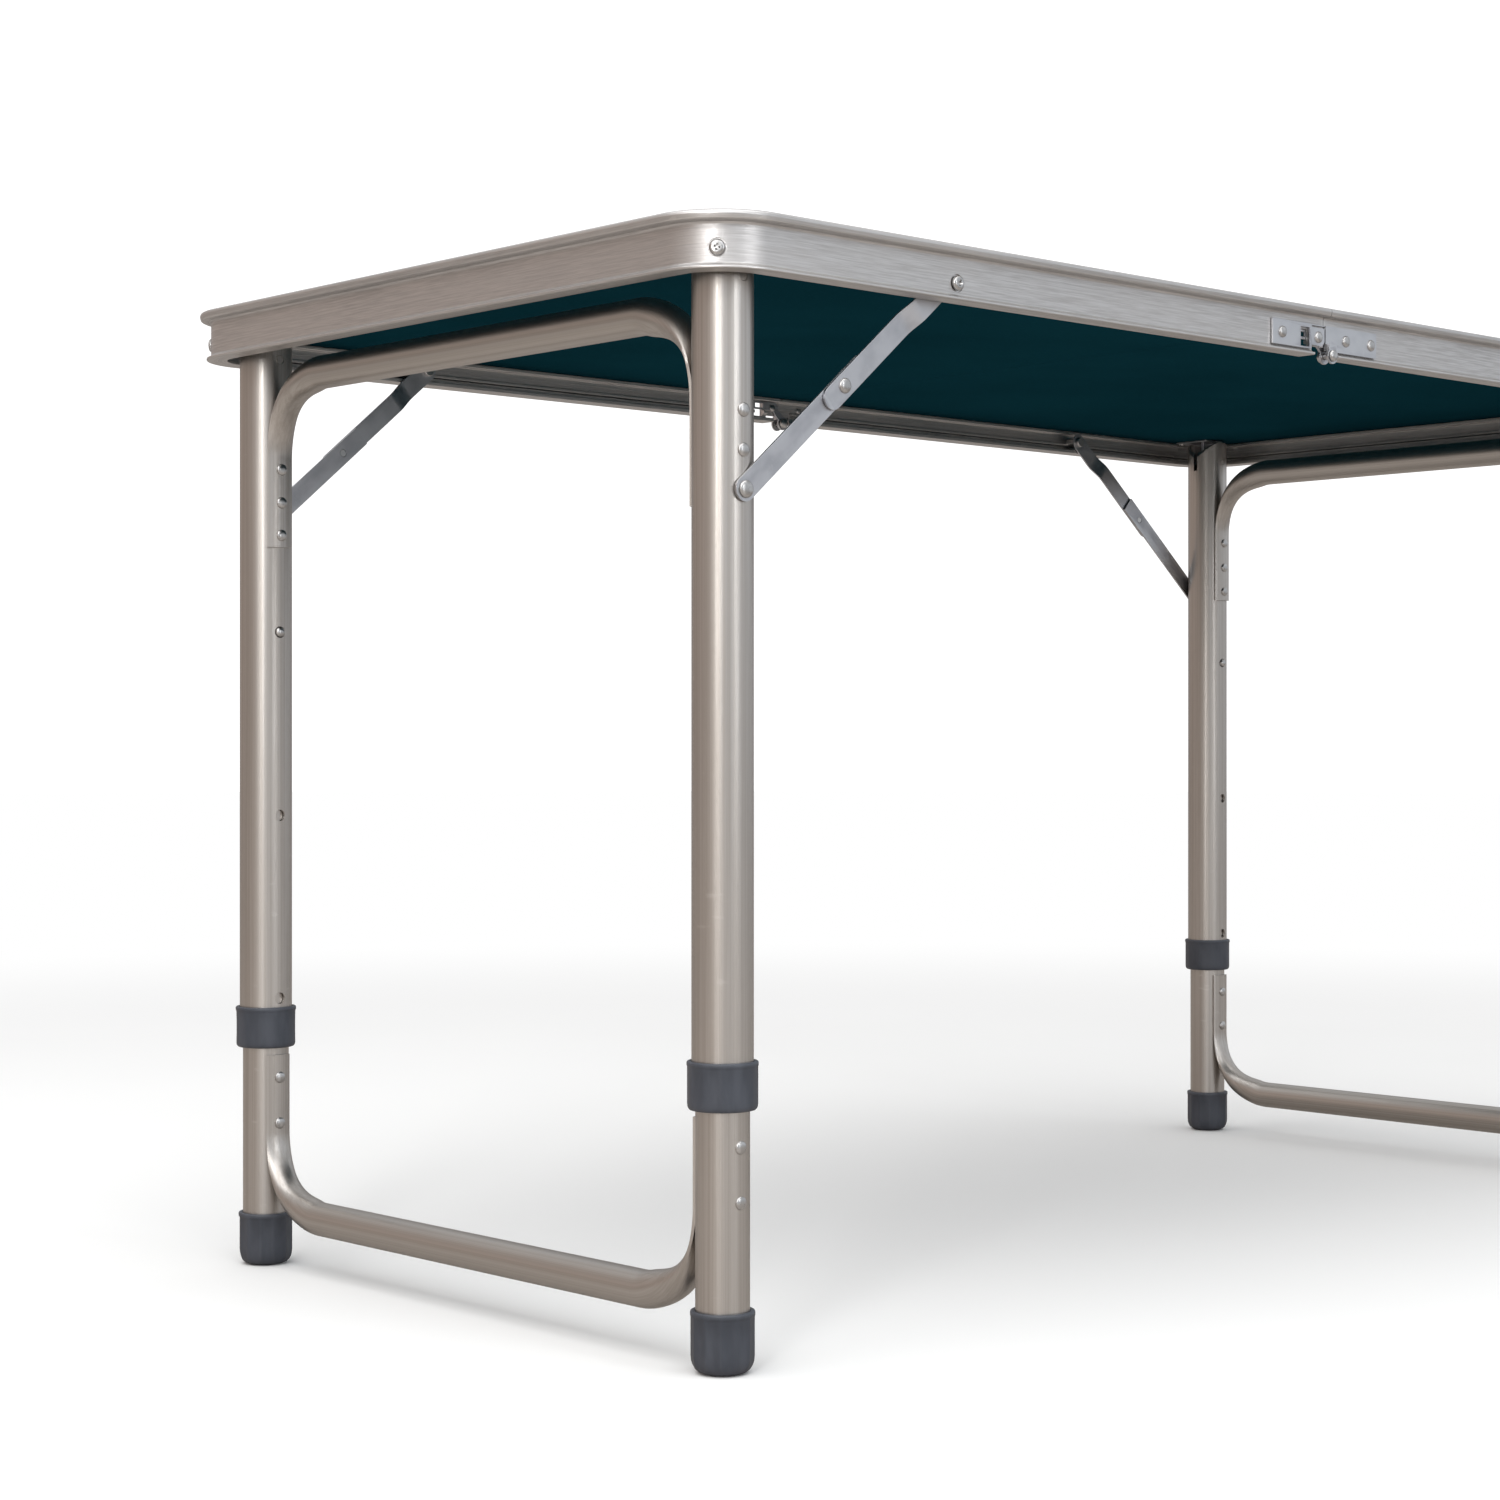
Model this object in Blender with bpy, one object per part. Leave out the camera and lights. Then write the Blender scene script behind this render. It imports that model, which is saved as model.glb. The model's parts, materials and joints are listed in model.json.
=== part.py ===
"""Folding picnic table, 1.2 m x 0.6 m x 0.7 m, built as separate named pieces.

Every length below is in millimetres and is turned into metres when a mesh is made.
X runs along the table, Y across it, Z up. The floor is Z = 0 and the seam between the
two halves is X = 0. Most pieces are drawn once for the +X +Y quarter and mirrored.
"""
import math

import bmesh
import bpy
from mathutils import Vector

MM = 0.001

# table top
FACE_X = 592.0          # outer face of the edge frame, half length
FACE_Y = 292.0          # outer face of the edge frame, half width
CORNER_R = 42.0         # corner radius on that face
SEAM = 0.3              # each half stops this far from X = 0
TOP_Z = 698.6
BEAD_OUT = 8.1          # how far the top bead stands out from the face
BEAD_Z = 692.2
FRAME_Z = 664.0         # underside of the edge frame
LIP_OUT = 3.3
FLANGE_IN = 11.8
WALL = 1.6
PANEL_Z0 = 686.3
PANEL_Z1 = 696.6
PANEL_INSET = 1.9
FIELD_INSET = 9.8       # the panel's open field, inside the rim's lip
FIELD_STEP = 0.2        # the board is this much thinner where the lip covers it

# leg frames
LEG_X = 551.0
LEG_Y = 252.6
LEG_R = 19.0
LEG_BORE_R = 17.2
LEG_PIVOT_Z = 664.0
LEG_TOP_R = 19.5        # the leg's top end is rounded about its pivot
LEG_BOTTOM_Z = 162.4
HOLE_Z = (196.0, 330.0, 464.4)
HOLE_R = 4.2
RIVET_Z = (583.2, 559.0)
PIN_R = 3.0
TONGUE_HALF = 1.5       # half thickness of the tongue inside the leg's top
TONGUE_R = 8.0
LINK_PIVOT_Z = 535.2
BRACE_R = 12.0
BRACE_BEND_R = 45.0
UPPER_BAR_Z = 649.7
UPPER_ARM_Z = 526.5
LOWER_BAR_Z = 40.5
LOWER_ARM_Z = 154.5
SLEEVE_R = 22.0
SLEEVE_Z0 = 159.6
SLEEVE_Z1 = 189.4
LOWER_R = 16.7
LOWER_BORE_R = 15.1
LOWER_TOP_Z = 492.0
FOOT_R = 19.9
FOOT_Z = 38.0

# folding links
STAY_X = 386.0          # screw that holds the upper link to the edge frame
STAY_Z = 675.0
MID_SHARE = 0.494       # where the middle joint lies between the two end pivots
LINK_W = 15.2
LINK_T = 1.6
LOWER_LINK_Y = 271.9
UPPER_LINK_Y = 273.8
JOGGLE = 4.0
JOGGLE_RUN = (65.0, 84.0)

# middle hinge
HINGE_X = 4.6
HINGE_Z = 664.6
LEAF_Y = 292.3
LEAF_T = 1.5
LEAF_TOP = 686.4
LUG_Y = 295.7
LUG_T = 1.4
ARM_Y = 288.3
ARM_T = 1.7

RIGHT, LEFT = 1, -1
BACK, FRONT = 1, -1
SIDES = ((LEFT, "left"), (RIGHT, "right"))
ROWS = ((FRONT, "front"), (BACK, "back"))


def clear_scene():
    for old in list(bpy.data.objects):
        bpy.data.objects.remove(old, do_unlink=True)
    for old in list(bpy.data.meshes):
        bpy.data.meshes.remove(old)


def material(name, colour, roughness, metallic):
    made = bpy.data.materials.get(name)
    if made is None:
        made = bpy.data.materials.new(name)
        made.use_nodes = True
        surface = made.node_tree.nodes["Principled BSDF"]
        surface.inputs["Base Color"].default_value = (*colour, 1.0)
        surface.inputs["Roughness"].default_value = roughness
        surface.inputs["Metallic"].default_value = metallic
        made.diffuse_color = (*colour, 1.0)
    return made


def finish(bm, name, look, origin=(0.0, 0.0, 0.0), flip=(1, 1), smooth=False):
    """Turn a bmesh drawn in millimetres into the named object, mirrored by flip."""
    sx, sy = flip
    bmesh.ops.scale(bm, vec=(sx * MM, sy * MM, MM), verts=bm.verts)
    bmesh.ops.remove_doubles(bm, verts=bm.verts, dist=0.000002)
    bmesh.ops.recalc_face_normals(bm, faces=bm.faces)
    place = Vector((origin[0] * sx * MM, origin[1] * sy * MM, origin[2] * MM))
    bmesh.ops.translate(bm, vec=-place, verts=bm.verts)
    bmesh.ops.triangulate(bm, faces=bm.faces)
    mesh = bpy.data.meshes.new(name)
    bm.to_mesh(mesh)
    bm.free()
    body = bpy.data.objects.new(name, mesh)
    body.location = place
    bpy.context.scene.collection.objects.link(body)
    mesh.materials.append(look)
    for face in mesh.polygons:
        face.use_smooth = smooth
    return body


def ring_faces(bm, rings, closed_path=False, caps=True):
    """Skin a list of equal rings of points."""
    made = [[bm.verts.new(p) for p in ring] for ring in rings]
    count = len(made[0])
    pairs = list(zip(made, made[1:]))
    if closed_path:
        pairs.append((made[-1], made[0]))
    for a, b in pairs:
        for i in range(count):
            j = (i + 1) % count
            bm.faces.new((a[i], a[j], b[j], b[i]))
    if caps and not closed_path:
        bm.faces.new(made[0])
        bm.faces.new(made[-1])


def skin(rings, closed_path=False):
    bm = bmesh.new()
    ring_faces(bm, rings, closed_path)
    bmesh.ops.recalc_face_normals(bm, faces=bm.faces)
    return bm


def lathe(profile, centre, axis="Z", segments=24, turn=0.0, hollow=False):
    """Turn (radius, height) points about an axis through centre. A solid profile starts
    and ends at radius 0; a hollow one is a closed loop."""
    bm = bmesh.new()
    columns = []
    for i in range(segments):
        a = turn + 2.0 * math.pi * i / segments
        column = []
        for r, h in profile:
            x, y = r * math.cos(a), r * math.sin(a)
            if axis == "Z":
                p = (centre[0] + x, centre[1] + y, centre[2] + h)
            else:
                p = (centre[0] + x, centre[1] + h, centre[2] + y)
            column.append(p)
        columns.append(column)
    if hollow:
        ring_faces(bm, columns, closed_path=True)
    else:
        made = []
        first = bm.verts.new(columns[0][0])
        last = bm.verts.new(columns[0][-1])
        for column in columns:
            made.append([bm.verts.new(p) for p in column[1:-1]])
        for i in range(segments):
            a, b = made[i], made[(i + 1) % segments]
            bm.faces.new((first, a[0], b[0]))
            bm.faces.new((last, b[-1], a[-1]))
            for k in range(len(a) - 1):
                bm.faces.new((a[k], a[k + 1], b[k + 1], b[k]))
    bmesh.ops.recalc_face_normals(bm, faces=bm.faces)
    return bm


def prism(points, low, high, axis="Y"):
    """Extrude a polygon. Points are (x, z) for axis Y, (x, y) for Z, (y, z) for X."""
    rings = []
    for level in (low, high):
        if axis == "Y":
            rings.append([(a, level, b) for a, b in points])
        elif axis == "Z":
            rings.append([(a, b, level) for a, b in points])
        else:
            rings.append([(level, a, b) for a, b in points])
    return skin(rings)


def box(x0, x1, y0, y1, z0, z1):
    return prism([(x0, y0), (x1, y0), (x1, y1), (x0, y1)], z0, z1, "Z")


def rod(x, z, y0, y1, radius, segments=16, turn=0.0):
    """A round bar along Y."""
    profile = [(0.0, y0), (radius, y0), (radius, y1), (0.0, y1)]
    return lathe(profile, (x, 0.0, z), "Y", segments, turn)


def dome(x, z, y0, radius, height, sign=1, segments=14, sink=0.5):
    """A rivet head on the plane Y = y0, standing out by height along sign."""
    profile = [
        (0.0, y0 - sign * sink),
        (radius, y0 - sign * sink),
        (radius, y0 + sign * 0.25 * height),
        (0.68 * radius, y0 + sign * 0.82 * height),
        (0.0, y0 + sign * height),
    ]
    return lathe(profile, (x, 0.0, z), "Y", segments)


def boolean(base, tools, operation):
    """Join tools to base, or cut them out of it, and give the result as a new bmesh."""
    scene = bpy.context.scene.collection
    for tool in tools:
        pair = []
        for n, bm in enumerate((base, tool)):
            mesh = bpy.data.meshes.new("working_%d" % n)
            bmesh.ops.triangulate(bm, faces=bm.faces)
            bm.to_mesh(mesh)
            bm.free()
            thing = bpy.data.objects.new("working_%d" % n, mesh)
            scene.objects.link(thing)
            pair.append(thing)
        target, cutter = pair
        cutter.hide_render = True
        cutter.display_type = "WIRE"
        modifier = target.modifiers.new("joined", "BOOLEAN")
        modifier.operation = operation
        modifier.solver = "EXACT"
        modifier.object = cutter
        bpy.context.view_layer.update()
        graph = bpy.context.evaluated_depsgraph_get()
        solved = target.evaluated_get(graph)
        base = bmesh.new()
        base.from_mesh(solved.to_mesh())
        solved.to_mesh_clear()
        for thing in pair:
            mesh = thing.data
            bpy.data.objects.remove(thing, do_unlink=True)
            bpy.data.meshes.remove(mesh)
    bmesh.ops.remove_doubles(base, verts=base.verts, dist=0.004)
    bmesh.ops.dissolve_degenerate(base, edges=base.edges, dist=0.002)
    bmesh.ops.dissolve_limit(
        base, angle_limit=0.002, verts=base.verts, edges=base.edges
    )
    return base


def add(base, *tools):
    return boolean(base, tools, "UNION")


def cut(base, *tools):
    return boolean(base, tools, "DIFFERENCE")


def corner_path(inset, steps):
    """(point, outward normal) round the three outer sides of the +X half."""
    x, y, r = FACE_X - inset, FACE_Y - inset, CORNER_R - inset
    out = [((SEAM, -y), (0.0, -1.0))]
    for sign, start in ((-1.0, -90.0), (1.0, 0.0)):
        for i in range(steps + 1):
            a = math.radians(start + 90.0 * i / steps)
            n = (math.cos(a), math.sin(a))
            centre = (x - r, sign * (y - r))
            out.append(((centre[0] + r * n[0], centre[1] + r * n[1]), n))
    out.append(((SEAM, y), (0.0, 1.0)))
    return out


FRAME_PROFILE = (
    (0.0, 690.9), (0.0, 667.7), (1.2, 666.3), (3.3, 665.7), (3.3, 664.4), (2.8, 664.0),
    (-11.4, 664.0), (-11.8, 664.4), (-11.8, 667.4), (-10.2, 667.4), (-10.2, 665.6),
    (-1.6, 665.6), (-1.6, 671.3), (-4.0, 671.9), (-4.0, 674.4), (-1.6, 674.4),
    (-1.6, 682.8), (-6.0, 682.8), (-6.0, 685.9), (-1.6, 685.9), (-1.6, 696.9),
    (-9.4, 696.9), (-9.4, 697.9), (-8.4, 698.6), (5.6, 698.6), (7.5, 697.6),
    (8.1, 695.8), (7.4, 693.0), (5.6, 692.2), (1.0, 692.2),
)


def edge_frame(side):
    rings = []
    for (px, py), (nx, ny) in corner_path(0.0, 7):
        rings.append([(px + u * nx, py + u * ny, z) for u, z in FRAME_PROFILE])
    bm = skin(rings)
    tools = []
    for row in (FRONT, BACK):
        low, high = sorted((row * 279.0, row * 296.5))
        # the corner of the lip, wall and flange is cut away round the hinge pin
        tools.append(box(-2.0, 14.0, low, high, 660.0, 670.6))
        low, high = sorted((row * 286.5, row * (FACE_Y - WALL)))
        tools.append(box(-2.0, 14.0, low, high, 669.0, 675.0))
        low, high = sorted((row * 285.0, row * 296.0))
        hinge = ((25.2, 677.2), (56.1, 677.2)) if side == RIGHT else ((8.0, 677.2), (50.5, 677.2))
        for x, z in hinge:
            tools.append(rod(x, z, low, high, 2.6, 10))
        if side == LEFT:
            tools.append(box(18.4, 29.0, low, high, 669.6, 682.2))
        tools.append(rod(STAY_X, STAY_Z, low, high, 2.8, 10))
        low, high = sorted((row * 285.0, row * (FACE_Y - WALL)))
        tools.append(rod(STAY_X, STAY_Z, low, high, 5.0, 10))
    return cut(bm, *tools)


def panel():
    rings = []
    for inset, seam, z in (
        (PANEL_INSET, 0.5, PANEL_Z0), (PANEL_INSET, 0.5, PANEL_Z1 - FIELD_STEP),
        (FIELD_INSET, 0.8, PANEL_Z1 - FIELD_STEP), (FIELD_INSET, 0.8, PANEL_Z1),
    ):
        points = [p for p, _ in corner_path(inset, 7)]
        points[0] = (seam, points[0][1])
        points[-1] = (seam, points[-1][1])
        rings.append([(x, y, z) for x, y in points])
    return skin(rings)


def bracket():
    """A plate screwed up under the panel, with a tongue that hangs inside the leg's open
    top and carries its pivot pin."""
    plate = box(LEG_X - 14.0, LEG_X + 14.0, 243.0, 282.0, 684.3, 686.0)
    outline = [(LEG_X + TONGUE_R, 685.0), (LEG_X - TONGUE_R, 685.0)]
    for i in range(7):
        a = math.radians(180.0 + 30.0 * i)
        outline.append((LEG_X + TONGUE_R * math.cos(a), LEG_PIVOT_Z + TONGUE_R * math.sin(a)))
    tongue = prism(outline, LEG_Y - TONGUE_HALF, LEG_Y + TONGUE_HALF)
    heads = []
    for dx in (-8.5, 8.5):
        profile = [(0.0, 1.0), (2.8, 1.0), (2.8, -0.6), (1.6, -1.5), (0.0, -1.7)]
        heads.append(lathe(profile, (LEG_X + dx, 278.0, 684.4), "Z", 8))
    bm = add(plate, tongue, *heads)
    hole = rod(LEG_X, LEG_PIVOT_Z, LEG_Y - 5.0, LEG_Y + 5.0, PIN_R + 0.4, 12)
    return cut(bm, hole)


def pivot_pin():
    half = LEG_R - 0.3
    profile = [
        (0.0, -half), (PIN_R - 0.5, -half), (PIN_R, 0.5 - half), (PIN_R, half - 0.5),
        (PIN_R - 0.5, half), (0.0, half),
    ]
    return lathe(profile, (LEG_X, LEG_Y, LEG_PIVOT_Z), "Y", 14)


def tube(outer, inner, z0, z1, x, y, segments):
    profile = [(inner, z0), (outer, z0), (outer, z1), (inner, z1)]
    return lathe(profile, (x, y, 0.0), "Z", segments, hollow=True)


def upper_leg():
    bm = tube(LEG_R, LEG_BORE_R, LEG_BOTTOM_Z, LEG_PIVOT_Z + 20.0, LEG_X, LEG_Y, 24)
    outline = [(LEG_X - 26.0, LEG_PIVOT_Z)]
    for i in range(9):
        a = math.radians(180.0 - 22.5 * i)
        outline.append((LEG_X + LEG_TOP_R * math.cos(a), LEG_PIVOT_Z + LEG_TOP_R * math.sin(a)))
    outline += [(LEG_X + 26.0, LEG_PIVOT_Z), (LEG_X + 26.0, 690.0), (LEG_X - 26.0, 690.0)]
    tools = [prism(outline, LEG_Y - 30.0, LEG_Y + 30.0)]
    tools.append(rod(LEG_X, LEG_PIVOT_Z, LEG_Y - 25.0, LEG_Y + 25.0, PIN_R + 0.3, 14))
    slot = TONGUE_HALF + 0.6
    floor = LEG_PIVOT_Z - TONGUE_R - 0.6
    tools.append(box(LEG_X - 25.0, LEG_X - 5.0, LEG_Y - slot, LEG_Y + slot, floor, 690.0))
    for z in HOLE_Z:
        tools.append(rod(LEG_X, z, LEG_Y - 25.0, LEG_Y, HOLE_R, 10))
    bm = cut(bm, *tools)
    face = LEG_Y + LEG_R
    heads = [dome(LEG_X, z, face - 0.3, 4.4, 2.2, segments=8, sink=0.8) for z in RIVET_Z]
    seat = LOWER_LINK_Y + LINK_T + 0.3
    profile = [(0.0, face - 1.0), (2.6, face - 1.0), (2.6, seat), (5.4, seat)]
    profile += [(5.4, seat + 0.6), (4.4, seat + 1.6), (2.2, seat + 2.1), (0.0, seat + 2.2)]
    heads.append(lathe(profile, (LEG_X, 0.0, LINK_PIVOT_Z), "Y", 12))
    return add(bm, *heads)


def brace_rings(sign, arm_z, bar_z, near_r, far_r, span, flat_end):
    """Rings of one U-shaped brace: a crescent pressed round the leg at each end, a round
    tube across. sign is +1 when the arms hang below the bar."""
    half = 8
    centre_y = LEG_Y - near_r - BRACE_R
    bend_y = centre_y - BRACE_BEND_R
    bend_z = bar_z - sign * BRACE_BEND_R
    blend = abs(bend_z - flat_end) + BRACE_BEND_R * math.radians(50.0)
    stations = []
    for i in range(2):
        stations.append((arm_z + (flat_end - arm_z) * i, None, 0.0, 0.0))
    for i in range(1, 4):
        z = flat_end + (bend_z - flat_end) * i / 3.0
        stations.append((z, None, 0.0, abs(z - flat_end) / blend))
    for i in range(1, 7):
        beta = math.radians(15.0 * i)
        run = abs(bend_z - flat_end) + BRACE_BEND_R * beta
        stations.append((bend_z, beta, run, min(1.0, run / blend)))
    rings = []
    for z, beta, run, share in stations:
        share = share * share * (3.0 - 2.0 * share)
        if beta is None:
            beta = 0.0
            middle = (centre_y, z)
            level = z
        else:
            middle = (
                bend_y + BRACE_BEND_R * math.cos(beta),
                bend_z + sign * BRACE_BEND_R * math.sin(beta),
            )
            level = flat_end + sign * run
        inward = (-math.cos(beta), -sign * math.sin(beta))
        ring = []
        for k in range(2 * half):
            phi = math.pi * (k + 0.5) / half
            x = BRACE_R * math.cos(phi)
            n = BRACE_R * math.sin(phi)
            circle = (x, middle[0] + n * inward[0], middle[1] + n * inward[1])
            if k < half:
                a = span - 2.0 * span * k / (half - 1)
                r = far_r
            else:
                a = -span + 2.0 * span * (k - half) / (half - 1)
                r = near_r
            moon = (r * math.sin(a), LEG_Y - r * math.cos(a), level)
            ring.append(
                tuple(m + (c - m) * share for m, c in zip(moon, circle))
            )
        rings.append(ring)
    mirrored = [[(x, -y, z) for x, y, z in ring] for ring in reversed(rings)]
    return [[(LEG_X + x, y, z) for x, y, z in ring] for ring in rings + mirrored]


def upper_brace():
    near_r, far_r = LEG_R + 0.3, LEG_R + 2.3
    rings = brace_rings(1, UPPER_ARM_Z, UPPER_BAR_Z, near_r, far_r, math.radians(36.0), 592.0)
    heads = []
    for row in (FRONT, BACK):
        for z in RIVET_Z + (LINK_PIVOT_Z,):
            heads.append(dome(LEG_X, z, row * (LEG_Y - far_r + 0.15), 4.2, 1.9, -row, 8, 0.8))
    return add(skin(rings), *heads)


def lower_brace():
    near_r, far_r = LOWER_R + 0.3, LOWER_R + 2.3
    rings = brace_rings(-1, LOWER_ARM_Z, LOWER_BAR_Z, near_r, far_r, math.radians(42.0), 98.0)
    heads = []
    for row in (FRONT, BACK):
        for z in (138.0, 104.5):
            heads.append(dome(LEG_X, z, row * (LEG_Y - far_r + 0.15), 4.2, 1.9, -row, 8, 0.8))
    return add(skin(rings), *heads)


def sleeve():
    profile = [
        (17.0, SLEEVE_Z0), (20.0, SLEEVE_Z0), (21.3, SLEEVE_Z0 + 0.8), (SLEEVE_R, SLEEVE_Z0 + 2.4),
        (SLEEVE_R, SLEEVE_Z1 - 1.4), (21.4, SLEEVE_Z1 - 0.3), (20.6, SLEEVE_Z1),
        (LEG_R + 0.3, SLEEVE_Z1), (LEG_R + 0.3, LEG_BOTTOM_Z - 0.3), (17.0, LEG_BOTTOM_Z - 0.3),
    ]
    return lathe(profile, (LEG_X, LEG_Y, 0.0), "Z", 24, hollow=True)


def lower_leg():
    bm = tube(LOWER_R, LOWER_BORE_R, 4.3, LOWER_TOP_Z, LEG_X, LEG_Y, 24)
    hole = rod(LEG_X, HOLE_Z[2], LEG_Y - 25.0, LEG_Y, HOLE_R, 10)
    bm = cut(bm, hole)
    face = LEG_Y + LOWER_R
    heads = [dome(LEG_X, z, face - 0.3, 4.2, 1.9, segments=8, sink=0.8) for z in (138.0, 104.5)]
    return add(bm, *heads)


def foot():
    profile = [
        (0.0, 0.0), (13.5, 0.0), (17.4, 1.6), (FOOT_R, 6.0), (FOOT_R, FOOT_Z - 1.0),
        (FOOT_R - 1.0, FOOT_Z), (LOWER_R + 1.0, FOOT_Z), (LOWER_R + 1.0, 4.0), (0.0, 4.0),
    ]
    return lathe(profile, (LEG_X, LEG_Y, 0.0), "Z", 12)


def snap_button():
    """A button on a bent leaf spring. It stands out through both tubes."""
    z = HOLE_Z[2]
    tip = LEG_Y - LEG_R - 2.2
    root = LEG_Y - 13.2
    profile = [(0.0, tip), (1.9, tip + 0.2), (3.1, tip + 0.9), (3.7, tip + 2.2), (3.7, root), (0.0, root)]
    head = lathe(profile, (LEG_X, 0.0, z), "Y", 12)
    strip = []
    for y, h in ((LEG_Y - 13.8, z + 16.0), (LEG_Y - 13.8, z - 30.0), (LEG_Y - 11.2, z - 39.0),
                 (LEG_Y - 7.6, z - 42.0), (LEG_Y - 4.2, z - 39.0)):
        strip.append((y, h))
    inner = [(y + 0.9, h + (0.0 if n < 2 else 1.1)) for n, (y, h) in enumerate(strip)]
    leaf = prism(strip + list(reversed(inner)), LEG_X - 4.5, LEG_X + 4.5, "X")
    return add(head, leaf)


def link_points():
    """The end pivots and the middle joint of a stay, as (x, z)."""
    a = (LEG_X, LINK_PIVOT_Z)
    t = (STAY_X, STAY_Z)
    m = (a[0] + (t[0] - a[0]) * MID_SHARE, a[1] + (t[1] - a[1]) * MID_SHARE)
    return a, m, t


def strip(start, end, before, after, y0, round_start, round_end, step=None):
    """A flat bar whose pivots are start and end, with the plane stepped by step."""
    length = math.hypot(end[0] - start[0], end[1] - start[1])
    along = ((end[0] - start[0]) / length, (end[1] - start[1]) / length)
    across = (-along[1], along[0])
    half = LINK_W / 2.0
    marks = []
    if round_start:
        for turn in (14.0, 36.0, 62.0, 90.0):
            a = math.radians(turn)
            marks.append((-before + half * (1.0 - math.cos(a)), half * math.sin(a)))
    else:
        marks.append((-before, half))
    if step:
        marks += [(step[0], half), (step[1], half)]
    if round_end:
        for turn in (90.0, 62.0, 36.0, 14.0):
            a = math.radians(turn)
            marks.append((length + after - half * (1.0 - math.cos(a)), half * math.sin(a)))
    else:
        marks.append((length + after, half))
    rings = []
    for s, w in marks:
        shift = 0.0
        if step and s > 0.5 * (step[0] + step[1]):
            shift = JOGGLE
        ring = []
        for side, level in ((-1, 0), (1, 0), (1, 1), (-1, 1)):
            x = start[0] + along[0] * s + across[0] * w * side
            z = start[1] + along[1] * s + across[1] * w * side
            ring.append((x, y0 + shift + level * LINK_T, z))
        rings.append(ring)
    return skin(rings)


def lower_link():
    a, m, _ = link_points()
    bm = strip(a, m, LINK_W / 2.0, 23.0, LOWER_LINK_Y, True, False)
    y0, y1 = LOWER_LINK_Y - 1.0, LOWER_LINK_Y + LINK_T + 1.0
    return cut(bm, rod(a[0], a[1], y0, y1, 2.9, 10), rod(m[0], m[1], y0, y1, 2.9, 10))


def upper_link():
    _, m, t = link_points()
    bm = strip(m, t, 20.5, LINK_W / 2.0, UPPER_LINK_Y, True, True, JOGGLE_RUN)
    high = UPPER_LINK_Y + LINK_T
    bm = cut(bm, rod(t[0], t[1], high - 1.0, high + JOGGLE + 1.0, 2.8, 10))
    return add(bm, dome(m[0], m[1], high - 0.1, 4.9, 2.3, 1, 10, 0.6))


def stay_screw():
    profile = [
        (0.0, 274.8), (3.9, 274.8), (4.4, 275.3), (4.4, 277.5), (2.4, 277.5), (2.4, 279.8),
        (4.5, 279.8), (4.5, 290.0), (2.4, 290.0), (2.4, 292.3), (5.0, 292.3), (5.0, 293.2),
        (4.2, 294.3), (2.6, 295.0), (0.0, 295.2),
    ]
    bm = lathe(profile, (STAY_X, 0.0, STAY_Z), "Y", 14)
    bars = []
    for a in (0.25, 0.25 + math.pi / 2.0):
        c, s = math.cos(a), math.sin(a)
        cross = [(2.6, 0.45), (-2.6, 0.45), (-2.6, -0.45), (2.6, -0.45)]
        points = [(STAY_X + u * c - w * s, STAY_Z + u * s + w * c) for u, w in cross]
        bars.append(prism(points, 293.7, 297.0))
    return cut(bm, add(*bars))


def disc(x, z, radius, count=14):
    return [(x + radius * math.cos(2.0 * math.pi * i / count),
             z + radius * math.sin(2.0 * math.pi * i / count)) for i in range(count)]


def left_hinge():
    """Outer leaf, two rivets through the frame wall and the inner arm that reaches the pin."""
    leaf = [(-61.8, 668.1), (-16.0, 668.1), (-16.0, 671.0), (-3.4, 671.0), (-0.5, 674.0)]
    leaf += [(-0.5, LEAF_TOP), (-61.8, LEAF_TOP)]
    bm = prism(leaf, LEAF_Y, LEAF_Y + LEAF_T)
    window = box(-29.0, -18.4, LEAF_Y - 1.0, LEAF_Y + 3.0, 669.4, 683.2)
    slit = box(-15.8, 1.0, LEAF_Y - 1.0, LEAF_Y + 3.0, 684.2, 685.3)
    bm = cut(bm, window, slit)
    arm = [(-55.5, 675.2), (-9.0, 675.2), (-6.0, 673.6), (-4.2, 671.0)]
    for i in range(11):
        a = math.radians(150.0 + 27.0 * i)
        arm.append((HINGE_X + 5.6 * math.cos(a), HINGE_Z + 5.6 * math.sin(a)))
    arm += [(-0.8, 675.5), (-0.8, 679.0), (-4.0, 682.2), (-55.5, 682.2)]
    inner = prism(arm, ARM_Y, ARM_Y + ARM_T)
    slot = box(-28.4, -19.0, ARM_Y - 1.0, ARM_Y + 3.0, 676.8, 680.6)
    inner = cut(inner, slot, rod(HINGE_X, HINGE_Z, ARM_Y - 1.0, ARM_Y + 3.0, 2.5, 12))
    rivets = []
    for x in (-8.0, -50.5):
        rivets.append(rod(x, 677.2, ARM_Y + 0.5, LEAF_Y + 1.0, 2.2, 10, 0.13))
        rivets.append(dome(x, 677.2, LEAF_Y + LEAF_T - 0.1, 4.2, 2.0, 1, 10, 0.7))
    return add(bm, rivets[0], rivets[2], rivets[1], rivets[3], inner)


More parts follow.
